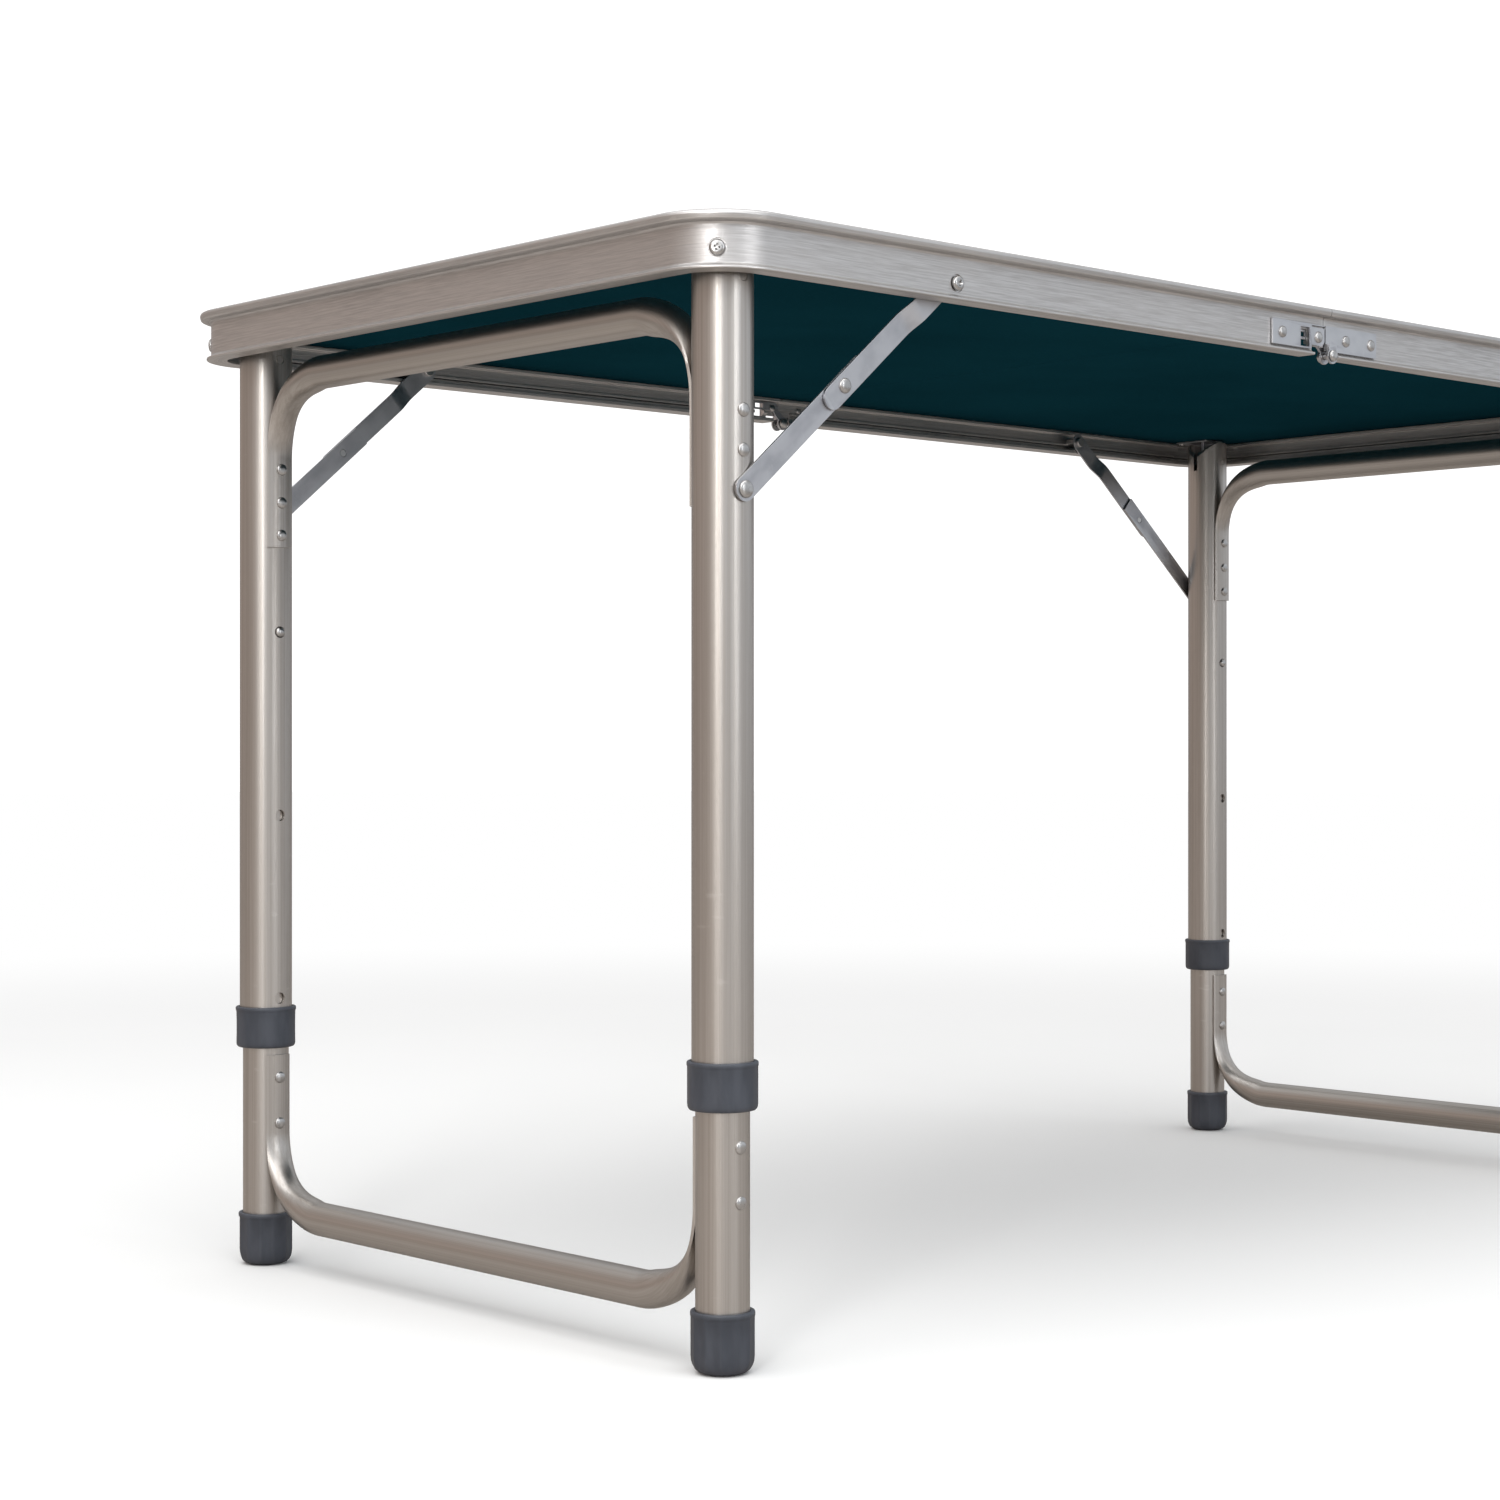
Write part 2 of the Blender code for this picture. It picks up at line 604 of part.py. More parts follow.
def right_hinge():
    """Outer leaf with the lug that turns on the pin below the frame."""
    leaf = [(0.5, 668.1), (63.0, 668.1), (63.0, LEAF_TOP), (0.5, LEAF_TOP)]
    bm = prism(leaf, LEAF_Y, LEAF_Y + LEAF_T)
    pad = box(0.5, 9.6, LEAF_Y + 0.3, LUG_Y + LUG_T, 668.1, 673.0)
    lug = prism(disc(HINGE_X, HINGE_Z, 5.8), LUG_Y, LUG_Y + LUG_T)
    neck = box(0.5, 9.2, LUG_Y + 0.01, LUG_Y + LUG_T - 0.01, HINGE_Z, 670.0)
    rivets = []
    for x in (25.2, 56.1):
        rivets.append(rod(x, 677.2, 289.0, LEAF_Y + 1.0, 2.2, 10, 0.13))
        rivets.append(dome(x, 677.2, LEAF_Y + LEAF_T - 0.1, 4.2, 2.0, 1, 10, 0.7))
    bm = add(bm, pad, add(lug, neck), *rivets)
    return cut(bm, rod(HINGE_X, HINGE_Z, LUG_Y - 1.0, LUG_Y + 3.0, 2.5, 12))


def hinge_pin():
    profile = [
        (0.0, 285.4), (3.2, 285.4), (4.2, 286.2), (4.2, 287.9), (2.2, 287.9), (2.2, 297.5),
        (4.3, 297.5), (4.3, 298.3), (3.2, 299.3), (1.6, 299.7), (0.0, 299.8),
    ]
    return lathe(profile, (HINGE_X, 0.0, HINGE_Z), "Y", 12)


def build():
    clear_scene()
    top = material("top_laminate", (0.030, 0.105, 0.120), 0.42, 0.0)
    edge = material("edge_aluminium", (0.66, 0.63, 0.60), 0.36, 1.0)
    leg = material("leg_aluminium", (0.72, 0.68, 0.63), 0.30, 1.0)
    zinc = material("zinc_steel", (0.66, 0.68, 0.70), 0.42, 1.0)
    screw = material("plated_screw", (0.74, 0.74, 0.75), 0.30, 1.0)
    plastic = material("slate_plastic", (0.060, 0.072, 0.086), 0.50, 0.0)
    a, m, t = link_points()
    for side, sname in SIDES:
        finish(panel(), sname + "_panel", top, flip=(side, 1))
        finish(edge_frame(side), sname + "_edge_frame", edge, flip=(side, 1))
        pivot = (LEG_X, 0.0, LEG_PIVOT_Z)
        finish(upper_brace(), sname + "_upper_brace", leg, pivot, (side, 1), True)
        finish(lower_brace(), sname + "_lower_brace", leg, (LEG_X, 0.0, 0.0), (side, 1), True)
        for row, rname in ROWS:
            tag = sname + "_" + rname + "_"
            flip = (side, row)
            here = (LEG_X, LEG_Y, LEG_PIVOT_Z)
            low = (LEG_X, LEG_Y, 0.0)
            finish(bracket(), tag + "leg_bracket", zinc, flip=flip)
            finish(pivot_pin(), tag + "pivot_pin", screw, here, flip)
            finish(upper_leg(), tag + "upper_leg", leg, here, flip, True)
            finish(sleeve(), tag + "sleeve", plastic, here, flip, True)
            finish(lower_leg(), tag + "lower_leg", leg, low, flip, True)
            finish(foot(), tag + "foot", plastic, low, flip)
            button = (LEG_X, LEG_Y - LEG_R, HOLE_Z[2])
            finish(snap_button(), tag + "snap_button", screw, button, flip)
            finish(lower_link(), tag + "lower_link", zinc, (a[0], LOWER_LINK_Y, a[1]), flip)
            finish(upper_link(), tag + "upper_link", zinc, (t[0], UPPER_LINK_Y, t[1]), flip)
            finish(stay_screw(), tag + "stay_screw", screw, (t[0], FACE_Y, t[1]), flip)
    axis = (HINGE_X, FACE_Y, HINGE_Z)
    for row, rname in ROWS:
        flip = (1, row)
        finish(left_hinge(), "left_" + rname + "_hinge", zinc, axis, flip)
        finish(right_hinge(), "right_" + rname + "_hinge", zinc, axis, flip)
        finish(hinge_pin(), rname + "_hinge_pin", screw, axis, flip)


build()
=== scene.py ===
"""Looks of the folding picnic table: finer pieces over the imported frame, their finishes, and the studio.

Lengths of the pieces are in millimetres and become metres when a mesh is made. X runs along
the table, Y across it, Z up; most pieces are drawn for the +X +Y quarter and mirrored.
"""
import json
import math

import bmesh
import bpy
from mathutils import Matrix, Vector

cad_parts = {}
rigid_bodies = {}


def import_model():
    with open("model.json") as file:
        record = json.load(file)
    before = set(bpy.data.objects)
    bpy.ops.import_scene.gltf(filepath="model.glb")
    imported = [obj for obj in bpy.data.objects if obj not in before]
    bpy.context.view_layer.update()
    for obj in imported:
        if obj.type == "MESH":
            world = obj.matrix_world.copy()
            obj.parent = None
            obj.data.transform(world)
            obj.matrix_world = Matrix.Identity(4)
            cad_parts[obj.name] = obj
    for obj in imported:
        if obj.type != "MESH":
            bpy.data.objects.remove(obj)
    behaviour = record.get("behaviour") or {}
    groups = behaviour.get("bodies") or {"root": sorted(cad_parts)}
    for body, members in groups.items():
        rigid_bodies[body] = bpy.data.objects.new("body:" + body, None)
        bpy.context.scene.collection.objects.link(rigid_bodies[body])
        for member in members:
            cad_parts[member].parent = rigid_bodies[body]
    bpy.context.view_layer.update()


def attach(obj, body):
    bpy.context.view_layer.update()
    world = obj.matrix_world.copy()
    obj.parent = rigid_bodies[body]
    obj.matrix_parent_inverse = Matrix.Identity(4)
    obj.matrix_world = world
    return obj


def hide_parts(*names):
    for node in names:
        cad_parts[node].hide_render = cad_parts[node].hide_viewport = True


MM = 0.001

# table top
FACE_X, FACE_Y = 592.0, 292.0        # outer faces of the rim, half length and half width
CORNER_R = 42.0
SEAM = 0.3                           # each half stops this far from X = 0
WALL = 1.6
PANEL_Z0, PANEL_Z1 = 686.3, 696.6
PANEL_INSET = 1.9
CORNER_SCREW_Z = 676.6
SCREW_HEAD_R = 4.9
SEAT_R, SEAT_DEPTH = 5.9, 1.0         # shallow seat pressed into the rim round a screw
FIELD_INSET, FIELD_STEP = 9.8, 0.2    # the open field inside the rim lip, and its step

# leg frames
LEG_X, LEG_Y = 551.0, 252.6
LEG_R, LEG_BORE_R = 19.0, 17.2
LEG_PIVOT_Z = 664.0
LEG_TOP_R = 19.5                     # the top of a leg is rounded about its pivot
LEG_BOTTOM_Z = 162.4
HOLE_Z = (196.0, 330.0, 464.4)
HOLE_R = 4.2
RIVET_Z = (583.2, 559.0)
PIN_R = 3.0
TONGUE_HALF, TONGUE_R = 1.5, 8.0     # the tongue that hangs inside a leg
LINK_PIVOT_Z = 535.2
LOWER_RIVET_Z = (138.0, 104.5)
BRACE_R, BRACE_BEND_R = 12.0, 45.0
BRACE_GAP, BRACE_WALL = 0.3, 2.0     # from the leg to the crescent, and the crescent's thickness
BRACE_BLEND = 75.0                   # degrees of the bend in which the round tube goes flat
UPPER_SPAN, LOWER_SPAN = 30.0, 32.0  # degrees round the leg from a crescent's middle to its edge
UPPER_BAR_Z, UPPER_ARM_Z, UPPER_FLAT_Z = 649.7, 526.5, 592.0    # bar, end of arm, end of crescent
LOWER_BAR_Z, LOWER_ARM_Z, LOWER_FLAT_Z = 40.5, 154.5, 98.0
LOWER_R, LOWER_BORE_R = 16.7, 15.1

# folding stays
STAY_X, STAY_Z = 386.0, 675.0
MID_SHARE = 0.494
LINK_W, LINK_T = 15.2, 1.6
LOWER_LINK_Y, UPPER_LINK_Y = 271.9, 273.8
JOGGLE, JOGGLE_RUN = 4.0, (65.0, 84.0)
LOWER_TAIL, UPPER_TAIL = 23.0, 20.5  # each link runs this far past the middle joint

# middle hinge
HINGE_X, HINGE_Z = 4.6, 664.6
LEAF_Y, LEAF_T, LEAF_TOP = 292.3, 1.5, 686.4
LUG_Y, LUG_T = 295.7, 1.4
ARM_Y, ARM_T = 288.3, 1.7
ARM_Z = (675.2, 682.2)
RIVET_LINE_Z = 677.2
LEAF_Z0 = 668.1
WINDOW_X, WINDOW_Z = (18.4, 29.0), (669.4, 683.2)
LUG_R, EYE_R = 5.8, 2.5
NOTCH_X = 14.0                       # the rim's foot is cut away this far for the hinge
LEFT_RIVETS_X, RIGHT_RIVETS_X = (-8.0, -50.5), (25.2, 56.1)

RIGHT, LEFT = 1, -1
BACK, FRONT = 1, -1
SIDES = ((LEFT, "left"), (RIGHT, "right"))
ROWS = ((FRONT, "front"), (BACK, "back"))

SEGMENTS = 96                        # round the tubes
ROUND = 40                           # round the rivets and screws


# ---------------------------------------------------------------- finishes

class Amount:
    """A socket of a node tree, so that its maths reads as sums."""

    def __init__(self, wiring, socket):
        self.wiring = wiring
        self.socket = socket

    def _sum(self, operation, a, b):
        return self.wiring.node("ShaderNodeMath", {"operation": operation}, {0: a, 1: b})

    def __add__(self, other):
        return self._sum("ADD", self, other)

    __radd__ = __add__

    def __sub__(self, other):
        return self._sum("SUBTRACT", self, other)

    def __rsub__(self, other):
        return self._sum("SUBTRACT", other, self)

    def __mul__(self, other):
        return self._sum("MULTIPLY", self, other)

    __rmul__ = __mul__

    def __gt__(self, other):
        return self._sum("GREATER_THAN", self, other)

    def __lt__(self, other):
        return self._sum("LESS_THAN", self, other)

    def __abs__(self):
        return self._sum("ABSOLUTE", self, 0.0)


class Wiring:
    """Adds nodes to one node tree and links them."""

    def __init__(self, tree):
        self.tree = tree

    def node(self, kind, settings=None, values=None, out=0):
        made = self.tree.nodes.new(kind)
        for key, value in (settings or {}).items():
            setattr(made, key, value)
        for key, value in (values or {}).items():
            if isinstance(value, Amount):
                self.tree.links.new(value.socket, made.inputs[key])
            else:
                made.inputs[key].default_value = value
        return Amount(self, made.outputs[out])

    def grain(self, along=1.0, across=1.0):
        """Place on the piece, with the first number along its drawing or brushing direction."""
        here = self.node("ShaderNodeAttribute", {"attribute_name": "grain"}, out="Vector")
        return self.node("ShaderNodeVectorMath", {"operation": "MULTIPLY"},
                         {0: here, 1: (along, across, across)})

    def noise(self, vector, scale=1.0, detail=3.0, roughness=0.55):
        return self.node("ShaderNodeTexNoise", None, {
            "Vector": vector, "Scale": scale, "Detail": detail, "Roughness": roughness})

    def spread(self, value, low, high, a=0.0, b=1.0):
        """low..high of value becomes a..b, held at both ends."""
        return self.node("ShaderNodeMapRange", {"interpolation_type": "SMOOTHSTEP"},
                         {"Value": value, "From Min": low, "From Max": high, "To Min": a, "To Max": b})

    def tint(self, share, first, second):
        values = {0: share}
        for key, colour in ((6, first), (7, second)):
            values[key] = colour if isinstance(colour, Amount) else (*colour, 1.0)
        return self.node("ShaderNodeMix", {"data_type": "RGBA"}, values, out=2)


class Finish(Wiring):
    """One material: its node tree and its surface shader."""

    def __init__(self, name):
        self.material = bpy.data.materials.new(name)
        self.material.use_nodes = True
        super().__init__(self.material.node_tree)
        self.surface = self.tree.nodes["Principled BSDF"]

    def worn_edge(self, low=0.505, high=0.56):
        point = self.node("ShaderNodeNewGeometry", out="Pointiness")
        return self.spread(point, low, high)

    def relief(self, height, strength, depth):
        return self.node("ShaderNodeBump", None, {
            "Height": height, "Strength": strength, "Distance": depth})

    def paint(self, **inputs):
        for key, value in inputs.items():
            socket = self.surface.inputs[key.replace("_", " ").title().replace("Ior", "IOR")]
            if isinstance(value, Amount):
                self.tree.links.new(value.socket, socket)
            else:
                socket.default_value = value
        return self.material


def brushed_rim():
    """Rim extrusion: linished lengthwise, clear anodised, polished by hands on its edges."""
    f = Finish("brushed_rim")
    long_lines = f.noise(f.grain(20.0, 820.0), 1.0, 3.0, 0.65)
    fine_lines = f.noise(f.grain(60.0, 2600.0), 1.0, 2.0, 0.5)
    clouds = f.noise(f.grain(7.0, 22.0), 1.0, 2.0, 0.5)
    lines = f.spread(long_lines * 0.6 + fine_lines * 0.4, 0.36, 0.64)
    worn = f.worn_edge()
    colour = f.tint(lines, (0.46, 0.45, 0.445), (0.62, 0.61, 0.605))
    colour = f.tint(f.spread(clouds, 0.35, 0.7, 0.0, 0.35), colour, (0.62, 0.60, 0.585))
    colour = f.tint(worn * 0.5, colour, (0.74, 0.73, 0.72))
    rough = 0.34 + (1.0 - lines) * 0.13 + clouds * 0.06 - worn * 0.08
    return f.paint(base_color=colour, metallic=1.0, roughness=rough,
                   normal=f.relief(lines, 0.22, 0.00012))


def drawn_tube():
    """Leg tube: drawn, warm anodised, with die lines along it and a few rubbed patches."""
    f = Finish("drawn_tube")
    die_lines = f.noise(f.grain(2.2, 520.0), 1.0, 3.0, 0.6)
    hair_lines = f.noise(f.grain(10.0, 2400.0), 1.0, 2.0, 0.5)
    clouds = f.noise(f.grain(5.0, 16.0), 1.0, 3.0, 0.55)
    scuffs = f.noise(f.grain(160.0, 60.0), 1.0, 2.0, 0.5)
    lines = f.spread(die_lines * 0.65 + hair_lines * 0.35, 0.36, 0.64)
    rubbed = f.spread(scuffs, 0.66, 0.74) * f.spread(clouds, 0.48, 0.66)
    colour = f.tint(lines, (0.445, 0.415, 0.385), (0.525, 0.50, 0.475))
    colour = f.tint(rubbed * 0.5, colour, (0.62, 0.60, 0.575))
    rough = 0.30 + (1.0 - lines) * 0.07 + clouds * 0.08 + rubbed * 0.10
    return f.paint(base_color=colour, metallic=1.0, roughness=rough,
                   normal=f.relief(lines, 0.12, 0.00008))


def pressed_zinc():
    """Stays, hinge leaves and brackets: pressed strip with cloudy zinc plate."""
    f = Finish("pressed_zinc")
    spangle = f.noise(f.grain(260.0, 260.0), 1.0, 3.0, 0.6)
    clouds = f.noise(f.grain(45.0, 70.0), 1.0, 2.0, 0.5)
    rolled = f.noise(f.grain(30.0, 1500.0), 1.0, 2.0, 0.5)
    worn = f.worn_edge()
    colour = f.tint(f.spread(clouds, 0.35, 0.66), (0.37, 0.375, 0.405), (0.48, 0.485, 0.515))
    colour = f.tint(f.spread(spangle, 0.55, 0.72, 0.0, 0.3), colour, (0.52, 0.53, 0.545))
    colour = f.tint(worn * 0.45, colour, (0.66, 0.67, 0.68))
    rough = 0.34 + clouds * 0.10 + rolled * 0.06 - worn * 0.08
    return f.paint(base_color=colour, metallic=1.0, roughness=rough,
                   normal=f.relief(rolled * 0.6 + spangle * 0.4, 0.15, 0.0001))


def bright_plate():
    """Rivet heads, screws, pins and buttons: bright plate with faint turning marks."""
    f = Finish("bright_plate")
    marks = f.noise(f.grain(900.0, 900.0), 1.0, 3.0, 0.6)
    dirt = f.noise(f.grain(300.0, 300.0), 1.0, 2.0, 0.5)
    worn = f.worn_edge(0.52, 0.60)
    colour = f.tint(f.spread(dirt, 0.4, 0.7), (0.44, 0.435, 0.43), (0.56, 0.555, 0.55))
    colour = f.tint(worn * 0.4, colour, (0.70, 0.70, 0.69))
    rough = 0.24 + marks * 0.10 + f.spread(dirt, 0.5, 0.7) * 0.08
    return f.paint(base_color=colour, metallic=1.0, roughness=rough,
                   normal=f.relief(marks, 0.10, 0.00006))


def moulded_plastic():
    """Sleeves and feet: slate grey nylon with a fine spark grain, paler where it rubs."""
    f = Finish("moulded_plastic")
    spark = f.noise(f.grain(1900.0, 1900.0), 1.0, 2.0, 0.6)
    flow = f.noise(f.grain(26.0, 90.0), 1.0, 3.0, 0.5)
    worn = f.worn_edge(0.51, 0.60)
    colour = f.tint(f.spread(flow, 0.35, 0.68), (0.041, 0.048, 0.063), (0.058, 0.066, 0.084))
    colour = f.tint(worn * 0.35, colour, (0.13, 0.14, 0.16))
    rough = 0.42 + spark * 0.14 - worn * 0.06
    return f.paint(base_color=colour, metallic=0.0, roughness=rough,
                   normal=f.relief(spark, 0.18, 0.00008))


def board_laminate():
    """Panel: thin dark teal laminate on fibreboard; the board's core shows at the seam edge."""
    f = Finish("board_laminate")
    here = f.node("ShaderNodeAttribute", {"attribute_name": "grain"}, out="Vector")
    x = f.node("ShaderNodeSeparateXYZ", None, {0: here}, out=0)
    z = f.node("ShaderNodeSeparateXYZ", None, {0: here}, out=2)
    emboss = f.noise(f.grain(420.0, 420.0), 1.0, 3.0, 0.6)
    press = f.noise(f.grain(4.0, 5.0), 1.0, 3.0, 0.5)
    fibres = f.noise(f.grain(60.0, 900.0), 1.0, 3.0, 0.6)
    laminate = f.tint(f.spread(press, 0.35, 0.68), (0.0044, 0.0385, 0.0560), (0.0056, 0.0470, 0.0680))
    laminate = f.tint(f.spread(emboss, 0.52, 0.70, 0.0, 0.22), laminate, (0.010, 0.066, 0.094))
    core = f.tint(f.spread(fibres, 0.35, 0.65), (0.20, 0.125, 0.070), (0.34, 0.235, 0.145))
    at_seam = abs(x) < 0.00075
    inside = (z > 0.6872) * (z < 0.6958)
    colour = f.tint(at_seam * inside, laminate, core)
    rough = 0.46 + emboss * 0.16 + press * 0.05
    f.surface.inputs["Specular IOR Level"].default_value = 0.0
    f.surface.inputs["Coat Roughness"].default_value = 0.28
    return f.paint(base_color=colour, metallic=0.0, roughness=rough, coat_weight=(z > 0.6915) * 0.5,
                   normal=f.relief(emboss, 0.12, 0.00008))


# ---------------------------------------------------------------- mesh tools

def skin(rings, closed_path=False):
    """Skin a list of equal rings of points into one closed body."""
    bm = bmesh.new()
    made = [[bm.verts.new(p) for p in ring] for ring in rings]
    pairs = list(zip(made, made[1:]))
    if closed_path:
        pairs.append((made[-1], made[0]))
    count = len(made[0])
    for a, b in pairs:
        for i in range(count):
            j = (i + 1) % count
            bm.faces.new((a[i], a[j], b[j], b[i]))
    if not closed_path:
        bm.faces.new(made[0])
        bm.faces.new(made[-1])
    bmesh.ops.recalc_face_normals(bm, faces=bm.faces)
    return bm


def turned(profile, centre, axis="Y", segments=ROUND, hollow=False, swell=None):
    """Turn (radius, height) points about an axis through centre. A solid profile starts and
    ends at radius 0; a hollow one is a closed loop. swell changes a radius round the axis."""
    columns = []
    for i in range(segments):
        a = 2.0 * math.pi * i / segments
        column = []
        for r, h in profile:
            if swell and r > 0.0:
                r = swell(r, h, a)
            u, v = r * math.cos(a), r * math.sin(a)
            if axis == "Z":
                column.append((centre[0] + u, centre[1] + v, centre[2] + h))
            else:
                column.append((centre[0] + u, centre[1] + h, centre[2] + v))
        columns.append(column)
    if hollow:
        return skin(columns, closed_path=True)
    bm = bmesh.new()
    first, last = bm.verts.new(columns[0][0]), bm.verts.new(columns[0][-1])
    made = [[bm.verts.new(p) for p in column[1:-1]] for column in columns]
    for i in range(segments):
        a, b = made[i], made[(i + 1) % segments]
        bm.faces.new((first, a[0], b[0]))
        bm.faces.new((last, b[-1], a[-1]))
        for k in range(len(a) - 1):
            bm.faces.new((a[k], a[k + 1], b[k + 1], b[k]))
    bmesh.ops.recalc_face_normals(bm, faces=bm.faces)
    return bm


def prism(points, low, high, axis="Y"):
    """Extrude a polygon. Points are (x, z) for axis Y, (x, y) for Z, (y, z) for X."""
    rings = []
    for level in (low, high):
        if axis == "Y":
            rings.append([(a, level, b) for a, b in points])
        elif axis == "Z":
            rings.append([(a, b, level) for a, b in points])
        else:
            rings.append([(level, a, b) for a, b in points])
    return skin(rings)


def box(x0, x1, y0, y1, z0, z1):
    return prism([(x0, y0), (x1, y0), (x1, y1), (x0, y1)], z0, z1, "Z")


def rod(x, z, y0, y1, radius, segments=ROUND):
    return turned([(0.0, y0), (radius, y0), (radius, y1), (0.0, y1)], (x, 0.0, z), "Y", segments)


def rounded(points, radius, steps=3, closed=True):
    """The same outline with its corners rounded."""
    out = []
    count = len(points)
    for i, p in enumerate(points):
        if not closed and i in (0, count - 1):
            out.append(tuple(p))
            continue
        here = Vector(p)
        before = Vector(points[i - 1]) - here
        after = Vector(points[(i + 1) % count]) - here
        r = min(radius, 0.45 * before.length, 0.45 * after.length)
        a, b = here + before.normalized() * r, here + after.normalized() * r
        for k in range(steps + 1):
            t = k / steps
            q = a * (1 - t) ** 2 + here * 2 * t * (1 - t) + b * t ** 2
            out.append((q.x, q.y))
    return out


def shaped(base, tools, operation):
    """Join tools to base, or cut them out of it."""
    for tool in tools:
        pair = []
        for n, bm in enumerate((base, tool)):
            mesh = bpy.data.meshes.new("working_%d" % n)
            bm.to_mesh(mesh)
            bm.free()
            thing = bpy.data.objects.new("working_%d" % n, mesh)
            bpy.context.scene.collection.objects.link(thing)
            pair.append(thing)
        modifier = pair[0].modifiers.new("joined", "BOOLEAN")
        modifier.operation = operation
        modifier.solver = "EXACT"
        modifier.object = pair[1]
        bpy.context.view_layer.update()
        solved = pair[0].evaluated_get(bpy.context.evaluated_depsgraph_get())
        base = bmesh.new()
        base.from_mesh(solved.to_mesh())
        solved.to_mesh_clear()
        for thing in pair:
            mesh = thing.data
            bpy.data.objects.remove(thing, do_unlink=True)
            bpy.data.meshes.remove(mesh)
    bmesh.ops.remove_doubles(base, verts=base.verts, dist=0.003)
    return base


def cut(base, *tools):
    return shaped(base, tools, "DIFFERENCE")


def add(base, *tools):
    return shaped(base, tools, "UNION")


def together(*parts):
    """Several closed bodies kept as one piece."""
    whole = bmesh.new()
    for bm in parts:
        mesh = bpy.data.meshes.new("working")
        bm.to_mesh(mesh)
        bm.free()
        whole.from_mesh(mesh)
        bpy.data.meshes.remove(mesh)
    return whole


class Maker:
    """Turns drawn pieces into objects on their bodies."""

    def __init__(self, finishes):
        self.finishes = finishes

    def piece(self, bm, name, look, body, stands_for=(), flip=(1, 1), grain=None, eased=0.0,
              crease=32.0, normals=None):
        sx, sy = flip
        grain = grain or (lambda p: (p.x, p.y, p.z))
        layer = bm.verts.layers.float_vector.get("grain") or bm.verts.layers.float_vector.new("grain")
        # mirrored pieces sit apart in the pattern, so that their marks differ
        for v in bm.verts:
            a, b, c = grain(v.co)
            v[layer] = Vector((a * MM + 0.37 * sx + 0.11 * sy, b * MM, c * MM))
            if look == "board_laminate":
                v[layer] = Vector((a * MM, b * MM, c * MM))
        bmesh.ops.scale(bm, vec=(sx * MM, sy * MM, MM), verts=bm.verts)
        bmesh.ops.recalc_face_normals(bm, faces=bm.faces)
        mesh = bpy.data.meshes.new(name)
        bm.to_mesh(mesh)
        bm.free()
        made = bpy.data.objects.new(name, mesh)
        bpy.context.scene.collection.objects.link(made)
        finish, slot = self.finishes[look]
        mesh.materials.append(finish)
        mesh.shade_smooth()
        mesh.set_sharp_from_angle(angle=math.radians(crease))
        if normals:
            normals(mesh, flip)
        if eased:
            bevel = made.modifiers.new("eased", "BEVEL")
            bevel.width = eased * MM
            bevel.segments = 2
            bevel.limit_method = "ANGLE"
            bevel.angle_limit = math.radians(crease)
            bevel.harden_normals = False
            even = made.modifiers.new("even", "WEIGHTED_NORMAL")
            even.keep_sharp = True
            even.weight = 80
        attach(made, body)
        if stands_for:
            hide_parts(*([stands_for] if isinstance(stands_for, str) else stands_for))
        return made


def tube_normals(cx, cy, radii):
    """Exact round shading for a tube along Z, whatever is cut through it."""
    def apply(mesh, flip):
        ax, ay = cx * flip[0] * MM, cy * flip[1] * MM
        made = []
        for face in mesh.polygons:
            for i in face.loop_indices:
                co = mesh.vertices[mesh.loops[i].vertex_index].co
                out = Vector((co.x - ax, co.y - ay, 0.0))
                r = out.length
                out.normalize()
                lean = face.normal.dot(out)
                round_face = any(abs(r - q * MM) < 0.00002 for q in radii)
                if round_face and abs(lean) > 0.85 and abs(face.normal.z) < 0.3:
                    made.append(out if lean > 0 else -out)
                else:
                    made.append(face.normal.copy())
        mesh.normals_split_custom_set(made)
    return apply


# ---------------------------------------------------------------- pieces of the top

RIM_OUTLINE = (
    (0.0, 690.9), (0.0, 667.7), (1.2, 666.3), (3.3, 665.7), (3.3, 664.4), (2.8, 664.0),
    (-11.4, 664.0), (-11.8, 664.4), (-11.8, 667.4), (-10.2, 667.4), (-10.2, 665.6),
    (-1.6, 665.6), (-1.6, 671.3), (-4.0, 671.9), (-4.0, 674.4), (-1.6, 674.4),
    (-1.6, 682.8), (-6.0, 682.8), (-6.0, 685.9), (-1.6, 685.9), (-1.6, 696.9),
    (-9.4, 696.9), (-9.4, 697.9), (-8.4, 698.6), (5.6, 698.6), (7.5, 697.6),
    (8.1, 695.8), (7.4, 693.0), (5.6, 692.2), (1.0, 692.2),
)
RIM_HALF_RUN = (FACE_X - CORNER_R) + CORNER_R * math.pi / 2 + (FACE_Y - CORNER_R)


def rim_path(inset, steps, stations=()):
    """(point, outward normal) round the three outer sides of the +X half."""
    x, y, r = FACE_X - inset, FACE_Y - inset, CORNER_R - inset
    along = [SEAM, *stations]
    out = [((s, -y), (0.0, -1.0)) for s in along]
    for sign, start in ((-1.0, -90.0), (1.0, 0.0)):
        for i in range(steps + 1):
            a = math.radians(start + 90.0 * i / steps)
            n = (math.cos(a), math.sin(a))
            out.append(((x - r + r * n[0], sign * (y - r) + r * n[1]), n))
        if sign < 0:
            out += [((x, q), (1.0, 0.0)) for q in (-150.0, -50.0, 50.0, 150.0)]
    return out + [((s, y), (0.0, 1.0)) for s in reversed(along)]


